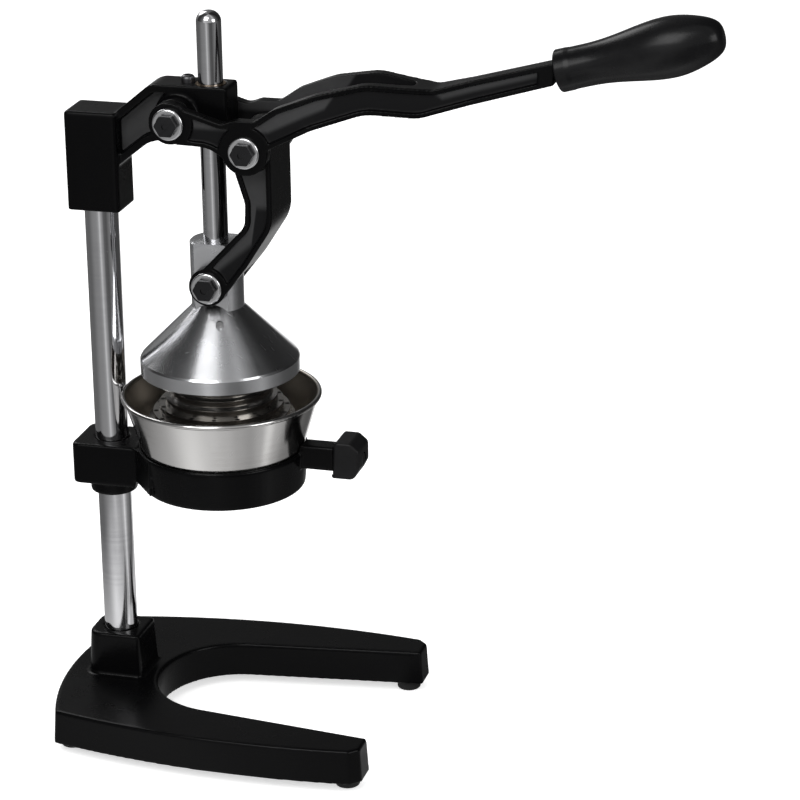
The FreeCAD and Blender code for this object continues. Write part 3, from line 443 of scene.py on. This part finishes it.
@dataclass(frozen=True)
class CastEnamel:
    """Glossy black stoved enamel on a sand casting, with rougher sunk webs that carry a painted sheen.

    Args:
        name: The material's name.
        half: How far the casting's side faces lie from the middle plane, as (X, distance) pairs.
        middle: The height of the line between the webs' painted shade below and painted highlight above, as
            (X, height) pairs.
        fade: Below and above which height over the middle line a web shows its painted shade and its painted
            highlight.
        colour: The enamel.
        worn: The enamel on rubbed edges.
        dust: The dust that lies on top.
        web: The sunk webs' colour, a painted sheen paler than the enamel.
        shaded: The painted shade in the lower part of a web.
        mottle: How much of its painted sheen a web keeps where it is dullest.
        gloss: The smoothest enamel's roughness.
        dull: The roughest enamel's roughness.
        satin: The webs' roughness.
        grazing: The roughness towards the outline.
        rim: How far the outline's roughness reaches in.
        peel_depth: The depth of the skin's waves and peel.
    """

    name: str
    half: tuple = ((0.0, 0.0),)
    middle: tuple = ()
    fade: tuple = (-2.5 * MM, 1.5 * MM)
    colour: tuple = (0.0018, 0.0018, 0.002)
    worn: tuple = (0.016, 0.016, 0.017)
    dust: tuple = (0.011, 0.011, 0.011)
    web: tuple = (0.044, 0.044, 0.045)
    shaded: tuple = (0.006, 0.006, 0.0065)
    mottle: float = 0.8
    gloss: float = 0.17
    dull: float = 0.27
    satin: float = 0.5
    grazing: float = 0.5
    rim: float = 0.12
    peel_depth: float = 0.07 * MM

    def along(self, m: "MaterialMaker", pairs: tuple) -> bpy.types.NodeSocket:
        """A value that runs straight from pair to pair along X.

        Args:
            m: The material in the making.
            pairs: The X of each place and the value there.

        Returns:
            The value's socket.
        """
        place = m.tree.nodes.new("ShaderNodeTexCoord").outputs["Object"]
        parts = m.tree.nodes.new("ShaderNodeSeparateXYZ")
        m.tree.links.new(place, parts.inputs[0])
        total = None
        for (x0, y0), (x1, y1) in zip(pairs, pairs[1:]):
            stretch = m.tree.nodes.new("ShaderNodeMapRange")
            m.tree.links.new(parts.outputs["X"], stretch.inputs["Value"])
            for key, value in zip(("From Min", "From Max", "To Min", "To Max"), (x0, x1, 0.0, y1 - y0)):
                stretch.inputs[key].default_value = value
            add = m.tree.nodes.new("ShaderNodeMath")
            m.tree.links.new(stretch.outputs["Result"], add.inputs[0])
            if total is None:
                add.inputs[1].default_value = pairs[0][1]
            else:
                m.tree.links.new(total, add.inputs[1])
            total = add.outputs[0]
        return total

    def make(self) -> bpy.types.Material:
        """Returns the finished material."""
        m = MaterialMaker(self.name)
        skin = m.group("paint_skin")
        edges = m.group("edge_mask", Width=1.2 * MM, Break=0.5)
        base = m.mix_colour(edges["Mask"], self.colour, self.worn)
        base = m.mix_colour(skin["Dust"], base, self.dust)
        rough = m.mix_value(skin["Sheen"], self.gloss, self.dull)
        if len(self.half) > 1:
            webs = m.group("web_mask")
            m.tree.links.new(self.along(m, self.half), webs["Mask"].node.inputs["Half"])
            # The webs' paler colour is a painted sheen, varied at random by the skin's noise.
            shade = m.mix_colour(skin["Sheen"], self.web, tuple(self.mottle * part for part in self.web))
            # Where a middle line is given, the web gets painted shade under it and the painted highlight over
            # it.
            if self.middle:
                light = m.group("height_over", Low=self.fade[0], High=self.fade[1])
                m.tree.links.new(self.along(m, self.middle), light["Height"].node.inputs["Middle"])
                shade = m.mix_colour(light["Height"], self.shaded, shade)
            base = m.mix_colour(webs["Mask"], base, shade)
            rough = m.mix_value(webs["Mask"], rough, self.satin)
        facing = m.tree.nodes.new("ShaderNodeLayerWeight")
        facing.inputs["Blend"].default_value = self.rim
        rough = m.mix_value(facing.outputs["Facing"], rough, self.grazing)
        m.connect(base, "Base Color")
        m.connect(rough, "Roughness")
        m.connect(m.bump(skin["Height"], self.peel_depth), "Normal")
        m.constants(IOR=1.5, Specular_IOR_Level=0.1)
        return m.material


@dataclass(frozen=True)
class SatinPlastic:
    """Moulded or rubbed black plastic with a soft sheen.

    Args:
        name: The material's name.
        colour: The plastic.
        pale: The plastic where it is smeared.
        gloss: The smoothest roughness.
        dull: The roughest roughness.
        grain: The grain's scale in cycles per metre.
        grain_depth: The grain's depth.
    """

    name: str
    colour: tuple = (0.005, 0.005, 0.0055)
    pale: tuple = (0.009, 0.009, 0.0095)
    gloss: float = 0.3
    dull: float = 0.46
    grain: float = 900.0
    grain_depth: float = 0.05 * MM

    def make(self) -> bpy.types.Material:
        """Returns the finished material."""
        m = MaterialMaker(self.name)
        skin = m.group("paint_skin", Peel=self.grain, Wave=40.0, Sand=0.8)
        marks = m.group("handling", Size=26.0)
        m.connect(m.mix_colour(marks["Smear"], self.colour, self.pale), "Base Color")
        m.connect(m.mix_value(skin["Sheen"], self.gloss, self.dull), "Roughness")
        m.connect(m.bump(skin["Height"], self.grain_depth), "Normal")
        m.constants(IOR=1.47, Specular_IOR_Level=0.22)
        return m.material


@dataclass(frozen=True)
class BrightMetal:
    """Polished or plated metal with handling marks and, where turned, fine rings.

    Args:
        name: The material's name.
        colour: The clean metal.
        tarnish: The smeared metal.
        gloss: The clean metal's roughness.
        dull: The smeared metal's roughness.
        pitch: The rings' scale in cycles per metre.
        slope: How far the rings climb with the radius.
        ring_depth: The rings' depth.
        anisotropy: How far the rings spread a reflection.
        centre: A place on the upright axis of a turned piece.
        inside: A painted shade on walls that face that axis: a darker colour that stands in for the shade and
            dark reflections there.
        scratched: How much rougher a scratch is.
        unpolished: How much rougher the inside is.
    """

    name: str
    colour: tuple
    tarnish: tuple
    gloss: float
    dull: float
    pitch: float = 2200.0
    slope: float = 1.0
    ring_depth: float = 0.0
    anisotropy: float = 0.0
    centre: tuple = (0.0, 0.0, 0.0)
    inside: tuple = ()
    scratched: float = 0.12
    unpolished: float = 0.1

    def make(self) -> bpy.types.Material:
        """Returns the finished material."""
        m = MaterialMaker(self.name)
        marks = m.group("handling", Size=20.0)
        rings = m.group("lathe_marks", Pitch=self.pitch, Slope=self.slope, Centre=self.centre)
        worn = m.mix_colour(marks["Smear"], self.colour, self.tarnish)
        shown = m.mix_colour(rings["Streak"], worn, self.colour)
        rough = m.mix_value(marks["Smear"], self.gloss, self.dull)
        if self.inside:
            wall = m.group("inner_wall", Centre=self.centre)["Mask"]
            # Painted shade: the walls facing the axis get a darker colour for the shade and dark reflections
            # there.
            shown = m.mix_colour(wall, shown, self.inside)
            rough = m.mix_value(wall, rough, self.dull + self.unpolished)
        m.connect(shown, "Base Color")
        m.connect(m.mix_value(marks["Scratch"], rough, self.dull + self.scratched), "Roughness")
        m.constants(Metallic=1.0, Anisotropic=self.anisotropy)
        if self.ring_depth:
            m.connect(m.bump(rings["Height"], self.ring_depth), "Normal")
        if self.anisotropy:
            m.constants(Anisotropic_Rotation=0.25)
            m.connect(self.around(m), "Tangent")
        return m.material

    def around(self, m: "MaterialMaker") -> bpy.types.NodeSocket:
        """The direction of the turning marks about the piece's upright axis."""
        place = m.tree.nodes.new("ShaderNodeNewGeometry").outputs["Position"]
        steps = []
        for operation in ("SUBTRACT", "CROSS_PRODUCT", "NORMALIZE"):
            steps.append(m.tree.nodes.new("ShaderNodeVectorMath"))
            steps[-1].operation = operation
            m.tree.links.new(steps[-2].outputs[0] if len(steps) > 1 else place, steps[-1].inputs[0])
        steps[0].inputs[1].default_value = self.centre
        steps[1].inputs[1].default_value = (0.0, 0.0, 1.0)
        return steps[-1].outputs[0]


@dataclass(frozen=True)
class Finishes:
    """Every finish of the press by the record's slot name, or by a variant's name.

    Args:
        plunger_x: The X place of the plunger's, bowl's and strainer's axis.
        column_x: The X place of the column's axis.
        half: The half widths that the enamelled castings with webs take.
        middle: The lines between painted shade and painted highlight that the lever's and the yoke's webs
            take.
    """

    plunger_x: float
    column_x: float
    half: dict = field(default_factory=dict)
    middle: dict = field(default_factory=dict)

    def makers(self) -> dict[str, object]:
        """Returns the finish of each slot."""
        plunger = (self.plunger_x, 0.0, 0.0)
        column = (self.column_x, 0.0, 0.0)
        return {
            "black_enamel": CastEnamel("black_enamel"),
            # The webs of these three castings carry a painted sheen; the lever's and the yoke's have painted
            # shade under their middle lines.
            "head_enamel": CastEnamel("head_enamel", self.half["head"]),
            "lever_enamel": CastEnamel("lever_enamel", self.half["lever"], self.middle["lever"]),
            "yoke_enamel": CastEnamel("yoke_enamel", self.half["yoke"], self.middle["yoke"],
                                      (-2.0 * MM, 4.0 * MM)),
            "column_chrome": BrightMetal("column_chrome", (0.72, 0.72, 0.735), (0.6, 0.6, 0.62), 0.09, 0.16,
                                         ring_depth=0.004 * MM, centre=column),
            "rod_chrome": BrightMetal("rod_chrome", (0.7, 0.7, 0.715), (0.56, 0.56, 0.58), 0.08, 0.17,
                                      centre=plunger),
            "cone_aluminium": BrightMetal("cone_aluminium", (0.74, 0.745, 0.76), (0.58, 0.59, 0.62), 0.2,
                                          0.3, pitch=2600.0, ring_depth=0.03 * MM, anisotropy=0.75,
                                          centre=plunger),
            # The bowl's inside colour is a painted shade for the shade and dark reflections in the bowl.
            "bowl_stainless": BrightMetal("bowl_stainless", (0.68, 0.67, 0.66), (0.58, 0.565, 0.55), 0.13,
                                          0.22, pitch=1800.0, ring_depth=0.012 * MM, anisotropy=0.3,
                                          centre=plunger, inside=(0.27, 0.25, 0.225)),
            "strainer_stainless": BrightMetal("strainer_stainless", (0.4, 0.385, 0.365), (0.3, 0.285, 0.27),
                                              0.18, 0.3, ring_depth=0.02 * MM, anisotropy=0.4,
                                              centre=plunger),
            "bright_zinc": BrightMetal("bright_zinc", (0.75, 0.75, 0.76), (0.6, 0.6, 0.62), 0.16, 0.27),
            "bright_screw": BrightMetal("bright_screw", (0.7, 0.7, 0.7), (0.55, 0.55, 0.56), 0.2, 0.3),
            # Painted dark reflection: the bolts' near-black colour stands in for the dark room that their
            # flat faces mirror.
            "bolt_steel": BrightMetal("bolt_steel", (0.045, 0.045, 0.047), (0.07, 0.07, 0.073), 0.26, 0.36),
            "black_oxide": BrightMetal("black_oxide", (0.1, 0.1, 0.105), (0.17, 0.17, 0.175), 0.3, 0.42),
            "bush_bronze": BrightMetal("bush_bronze", (0.24, 0.17, 0.1), (0.16, 0.115, 0.07), 0.28, 0.4,
                                       centre=plunger),
            "grip_plastic": SatinPlastic("grip_plastic", gloss=0.2, dull=0.3, grain=260.0,
                                         grain_depth=0.03 * MM),
            "grip_block_plastic": SatinPlastic("grip_block_plastic", gloss=0.34, dull=0.5),
            "foot_rubber": SatinPlastic("foot_rubber", (0.014, 0.014, 0.014), (0.026, 0.026, 0.026), 0.5,
                                        0.68),
        }


# Pieces


def soften(piece: bpy.types.Object, voxel: float, rounds: int) -> None:
    """Gives a cast piece the rounded edges of a painted casting.

    Args:
        piece: The frame's piece.
        voxel: The size of the new skin's faces.
        rounds: How many times the skin is smoothed.
    """
    weld = piece.modifiers.new("weld", "WELD")
    weld.merge_threshold = WELD
    skin = piece.modifiers.new("skin", "REMESH")
    skin.mode = "VOXEL"
    skin.voxel_size = voxel
    skin.use_smooth_shade = True
    smooth = piece.modifiers.new("smooth", "SMOOTH")
    smooth.factor = 0.5
    smooth.iterations = rounds


def halfway(piece: bpy.types.Object, places: list[tuple]) -> tuple:
    """The height halfway between a piece's underside and top.

    Args:
        piece: The frame's piece.
        places: The X and Y of each place, and how far to move its height up.

    Returns:
        (X, height) pairs for the places that the piece covers.
    """
    pairs = []
    for x, y, up in places:
        above, top, _, _ = piece.ray_cast((x, y, 1.0), (0.0, 0.0, -1.0))
        below, under, _, _ = piece.ray_cast((x, y, 0.0), (0.0, 0.0, 1.0))
        if above and below:
            pairs.append((x, (top.z + under.z) / 2 + up))
    return tuple(pairs)


def middle_x(name: str) -> float:
    """The X place of the middle of a piece's box.

    Args:
        name: The piece's name.

    Returns:
        The X place.
    """
    low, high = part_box(name)
    return (low.x + high.x) / 2


@dataclass(frozen=True)
class Webs:
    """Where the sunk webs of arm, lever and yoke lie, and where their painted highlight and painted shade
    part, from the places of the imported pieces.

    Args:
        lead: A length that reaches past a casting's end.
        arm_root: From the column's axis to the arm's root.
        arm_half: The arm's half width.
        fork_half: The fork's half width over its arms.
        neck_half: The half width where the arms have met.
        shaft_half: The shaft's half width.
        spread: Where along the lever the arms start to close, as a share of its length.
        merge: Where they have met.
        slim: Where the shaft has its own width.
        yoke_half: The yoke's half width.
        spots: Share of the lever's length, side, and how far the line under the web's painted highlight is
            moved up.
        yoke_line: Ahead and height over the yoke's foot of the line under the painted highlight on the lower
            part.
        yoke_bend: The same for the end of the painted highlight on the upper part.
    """

    lead: float = 100.0 * MM
    arm_root: float = 17.6 * MM
    arm_half: float = 12.0 * MM
    fork_half: float = 29.5 * MM
    neck_half: float = 10.5 * MM
    shaft_half: float = 6.6 * MM
    spread: float = 0.21
    merge: float = 0.6
    slim: float = 0.74
    yoke_half: float = 21.2 * MM
    spots: tuple = ((0.08, 26.0, 0.0), (0.2, 26.0, 0.0), (0.27, 23.0, 1.0), (0.33, 20.0, 14.0),
                    (0.45, 14.0, 14.0), (0.56, 9.0, 14.0), (0.64, 5.0, 1.0), (0.8, 3.0, 1.0),
                    (0.95, 3.0, 1.0))
    yoke_line: tuple = ((0.0, 4.5 * MM), (30.0 * MM, 29.5 * MM))
    yoke_bend: tuple = (34.0 * MM, 54.0 * MM)

    def link_x(self) -> float:
        """The X place of the pivot between lever and yoke."""
        return middle_x("link_pivot_bolts")

    def run(self) -> float:
        """The lever's length from that pivot to the grip."""
        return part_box("handle_grip")[0].x - self.link_x()

    def half(self) -> dict[str, tuple]:
        """Returns each casting's half width as (X, distance) pairs."""
        arm_x = middle_x("column") + self.arm_root
        link, run = self.link_x(), self.run()
        return {
            "head": ((arm_x, 0.0), (arm_x + 0.1 * MM, self.arm_half)),
            "lever": ((link - self.lead, self.fork_half), (link + self.spread * run, self.fork_half),
                      (link + self.merge * run, self.neck_half), (link + self.slim * run, self.shaft_half)),
            "yoke": ((link, self.yoke_half), (link + self.lead, self.yoke_half)),
        }

    def middle(self, lever: bpy.types.Object) -> dict[str, tuple]:
        """The line under the painted highlight of each web, with painted shade below it.

        Args:
            lever: The lever's casting.

        Returns:
            (X, height) pairs of the lever and the yoke.
        """
        link, run = self.link_x(), self.run()
        foot_x = middle_x("plunger_rod")
        foot_z = sum(corner.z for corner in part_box("plunger_pivot_bolts")) / 2
        line = tuple((foot_x + ahead, foot_z + up) for ahead, up in (*self.yoke_line, self.yoke_bend))
        spots = [(link + share * run, -side * MM, up * MM) for share, side, up in self.spots]
        return {"lever": halfway(lever, spots), "yoke": (*line, (foot_x + self.lead, line[-1][1]))}


@dataclass(frozen=True)
class SubAssembly:
    """A group of pieces that go together on the bench.

    Args:
        cast: The pieces with a sand casting's edges.
        fine_cast: The pieces with a finer casting's edges.
        machined: The pieces that keep their machined edges.
    """

    cast: tuple = ()
    fine_cast: tuple = ()
    machined: tuple = ()

    def edges(self) -> list[tuple[str, Edge]]:
        """Returns each piece's name and edges."""
        kinds = ((Edge.CAST, self.cast), (Edge.FINE_CAST, self.fine_cast), (Edge.AS_MACHINED, self.machined))
        return [(name, edge) for edge, names in kinds for name in names]

    def dress(self, frame: dict, looks: dict[str, bpy.types.Material], slots: dict[str, str]) -> None:
        """Gives each piece its edges and its finish.

        Args:
            looks: The material of each slot.
            slots: The slot of each piece.
        """
        for name, edge in self.edges():
            piece = frame["nodes"][name]
            if edge in SKINS:
                soften(piece, *SKINS[edge])
            piece.data.materials.clear()
            piece.data.materials.append(looks[slots[name]])
            LOG.info("%s: %s, %s", name, edge.value, slots[name])


@dataclass(frozen=True)
class Base(SubAssembly):
    """The base on its rubber feet."""

    cast: tuple = ("base_casting",)
    machined: tuple = ("rubber_feet", "foot_screws", "socket_set_screw")


@dataclass(frozen=True)
class Column(SubAssembly):
    """The column with what draws it into the base."""

    machined: tuple = ("column", "column_washer", "column_bolt")


@dataclass(frozen=True)
class Head(SubAssembly):
    """The head with the plunger's guide and the lever's pivot."""

    cast: tuple = ("head_casting",)
    machined: tuple = ("head_set_screw", "guide_bush", "guide_screw", "main_pivot_bolt",
                       "main_pivot_washers", "main_pivot_nut")


@dataclass(frozen=True)
class Bracket(SubAssembly):
    """The ring bracket with its front grip."""

    cast: tuple = ("ring_bracket",)
    machined: tuple = ("bracket_set_screw", "front_grip", "front_grip_screw")


@dataclass(frozen=True)
class Bowl(SubAssembly):
    """The juice bowl with its strainer."""

    machined: tuple = ("juice_bowl", "strainer")


@dataclass(frozen=True)
class Lever(SubAssembly):
    """The lever with its grip and the yoke's upper pivots."""

    fine_cast: tuple = ("lever_casting",)
    machined: tuple = ("handle_grip", "link_pivot_bolts", "link_pivot_washers", "link_pivot_nuts")


@dataclass(frozen=True)
class Yoke(SubAssembly):
    """The yoke with its lower pivots."""

    fine_cast: tuple = ("connecting_yoke",)
    machined: tuple = ("plunger_pivot_bolts", "plunger_pivot_washers")


@dataclass(frozen=True)
class Plunger(SubAssembly):
    """The plunger rod with the press cone."""

    machined: tuple = ("plunger_rod", "press_cone", "rod_lock_screw")


@dataclass
class Studio:
    """The pale floor, the lamps and the white room.

    Args:
        floor_size: The floor's side.
        floor_drop: How far the floor lies under the feet, so that no faces coincide.
        floor_grey: The floor's own grey, and the grey that it adds in reflections.
        floor_glow: The floor's glow to the camera, which makes it white there.
        floor_near: Where the near floor's bands end and the far floor's are reached, from the middle.
        white: The room's colour.
        ambient: The room's plain light on the press.
        aim: The place that the lamps face.
        lamps: Name, place, size and power of each lamp.
    """

    floor_size: float = 40.0
    floor_drop: float = 0.2 * MM
    floor_grey: tuple = (0.9, 0.05)
    floor_glow: float = 0.62
    floor_near: tuple = (0.28, 0.5)
    white: tuple = (1.0, 1.0, 1.0)
    ambient: float = 0.55
    aim: tuple = (0.0, 0.0, 0.22)
    lamps: tuple = (("key", (-0.36, -1.72, 1.9), 1.35, 25.0), ("fill", (1.9, -0.95, 1.1), 1.0, 10.0),
                    ("back", (-1.25, 1.0, 1.5), 1.0, 10.0))

    def build(self) -> None:
        """Makes the floor, the world and the lamps."""
        self.floor()
        self.world()
        for name, place, size, power in self.lamps:
            self.lamp(name, Vector(place), size, power)

    def floor(self) -> None:
        """A wide floor that stays white to the camera and in reflections, with a soft shadow."""
        half = self.floor_size / 2
        mesh = bpy.data.meshes.new("floor")
        level = -self.floor_drop
        corners = [(-half, -half, level), (half, -half, level), (half, half, level), (-half, half, level)]
        mesh.from_pydata(corners, [], [(0, 1, 2, 3)])
        floor = bpy.data.objects.new("floor", mesh)
        bpy.context.scene.collection.objects.link(floor)
        material = bpy.data.materials.new("floor")
        material.use_nodes = True
        tree = material.node_tree
        shader = tree.nodes["Principled BSDF"]
        shader.inputs["Roughness"].default_value = 0.8
        shader.inputs["Emission Color"].default_value = (*self.white, 1.0)
        rays = tree.nodes.new("ShaderNodeLightPath")
        glossy = rays.outputs["Is Glossy Ray"]
        place = tree.nodes.new("ShaderNodeNewGeometry").outputs["Position"]
        bands = self.bands(tree, place)
        colour = self.mix(tree, glossy, *self.floor_grey)
        tree.links.new(colour, shader.inputs["Base Color"])
        reach = tree.nodes.new("ShaderNodeVectorMath")
        reach.operation = "LENGTH"
        tree.links.new(place, reach.inputs[0])
        near = tree.nodes.new("ShaderNodeMapRange")
        tree.links.new(reach.outputs["Value"], near.inputs["Value"])
        for key, value in zip(("From Min", "From Max"), self.floor_near):
            near.inputs[key].default_value = value
        shown = self.mix(tree, near.outputs["Result"], bands["Near"], bands["Low"])
        mirrored = self.mix(tree, glossy, 0.0, shown)
        glow = self.mix(tree, rays.outputs["Is Camera Ray"], mirrored, self.floor_glow)
        tree.links.new(glow, shader.inputs["Emission Strength"])
        mesh.materials.append(material)

    def world(self) -> None:
        """A white room to the camera and in reflections, and a plain ambient light."""
        world = bpy.data.worlds.new("studio")
        bpy.context.scene.world = world
        world.use_nodes = True
        tree = world.node_tree
        shader = tree.nodes["Background"]
        shader.inputs["Color"].default_value = (*self.white, 1.0)
        rays = tree.nodes.new("ShaderNodeLightPath")
        bands = self.bands(tree, tree.nodes.new("ShaderNodeTexCoord").outputs["Generated"])
        plain = self.mix(tree, rays.outputs["Is Glossy Ray"], self.ambient, bands["High"])
        plain = self.mix(tree, rays.outputs["Is Transmission Ray"], plain, 1.0)
        tree.links.new(self.mix(tree, rays.outputs["Is Camera Ray"], plain, 1.0), shader.inputs["Strength"])

    def bands(self, tree: bpy.types.NodeTree, direction: bpy.types.NodeSocket) -> bpy.types.NodeOutputs:
        """Places the room's bands in a tree.

        Args:
            tree: The node tree.
            direction: The direction from the press to look them up by.

        Returns:
            The outputs Low, Near and High.
        """
        made = tree.nodes.new("ShaderNodeGroup")
        made.node_tree = Groups.get("room_bands")
        tree.links.new(direction, made.inputs["Direction"])
        return made.outputs

    def mix(self, tree: bpy.types.NodeTree, mask: object, low: object, high: object) -> bpy.types.NodeSocket:
        """Mixes two numbers, or sockets, by a mask in any tree.

        Args:
            tree: The node tree.
            mask: The socket that goes from the first to the second.
            low: The number or socket where the mask is 0.
            high: The number or socket where the mask is 1.

        Returns:
            The mixed value's socket.
        """
        made = tree.nodes.new("ShaderNodeMix")
        tree.links.new(mask, made.inputs[0])
        for i, value in ((2, low), (3, high)):
            if isinstance(value, (int, float)):
                made.inputs[i].default_value = value
            else:
                tree.links.new(value, made.inputs[i])
        return made.outputs[0]

    def lamp(self, name: str, place: Vector, size: float, power: float) -> None:
        """A square soft lamp that faces the middle of the press.

        Args:
            name: The lamp's name.
            place: Where it hangs.
            size: Its side.
            power: Its power in watts.
        """
        data = bpy.data.lights.new(name, "AREA")
        data.size = size
        data.energy = power
        lamp = bpy.data.objects.new(name, data)
        lamp.location = place
        lamp.rotation_euler = (Vector(self.aim) - place).to_track_quat("-Z", "Y").to_euler()
        bpy.context.scene.collection.objects.link(lamp)


@dataclass
class PhotoCamera:
    """The camera at the photograph's place, seen from the column's foot.

    Args:
        azimuth: Degrees from the press's side towards the handle.
        elevation: Degrees up.
        distance: From the target.
        roll: Degrees about the line of sight.
        focal_pixels: The focal length in pixels of the frame.
        frame_pixels: The frame's side in pixels.
        target_ahead: How far before the column the target lies.
        target_height: The target's height.
    """

    azimuth: float = 15.845
    elevation: float = 20.600
    distance: float = 2.05
    roll: float = -0.794
    focal_pixels: float = 3208.9
    frame_pixels: float = 800.0
    target_ahead: float = 0.19739
    target_height: float = 0.23880

    def build(self, column_x: float) -> bpy.types.Object:
        """Makes the camera and sets it as the scene's.

        Args:
            column_x: The X place of the column's axis.

        Returns:
            The camera.
        """
        turn = math.radians(self.azimuth)
        lift = math.radians(self.elevation)
        back = Vector((math.sin(turn) * math.cos(lift), -math.cos(turn) * math.cos(lift), math.sin(lift)))
        target = Vector((column_x + self.target_ahead, 0.0, self.target_height))
        data = bpy.data.cameras.new("photo_camera")
        data.sensor_width = 36.0
        data.lens = self.focal_pixels / self.frame_pixels * data.sensor_width
        camera = bpy.data.objects.new(data.name, data)
        level = (-back).to_track_quat("-Z", "Y").to_matrix().to_4x4()
        rolled = level @ Matrix.Rotation(math.radians(self.roll), 4, "Z")
        camera.matrix_world = Matrix.Translation(target + back * self.distance) @ rolled
        bpy.context.scene.collection.objects.link(camera)
        bpy.context.scene.camera = camera
        return camera


def main() -> None:
    """Builds the looks in order."""
    logging.basicConfig(level=logging.INFO, format="%(name)s %(message)s")
    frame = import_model()
    bpy.context.scene.view_settings.view_transform = "Standard"
    slots = {row["node"]: row["material_slot"] for row in frame["record"]["subparts"]}
    slots.update(VARIANTS)
    column_x = middle_x("column")
    webs = Webs()
    lines = webs.middle(frame["nodes"]["lever_casting"])
    finishes = Finishes(middle_x("plunger_rod"), column_x, webs.half(), lines).makers()
    looks = {slot: finish.make() for slot, finish in finishes.items()}
    for part in (Base(), Column(), Head(), Bracket(), Bowl(), Lever(), Yoke(), Plunger()):
        part.dress(frame, looks, slots)
    Studio().build()
    PhotoCamera().build(column_x)
    bpy.context.view_layer.update()


if __name__ == "__main__":
    main()
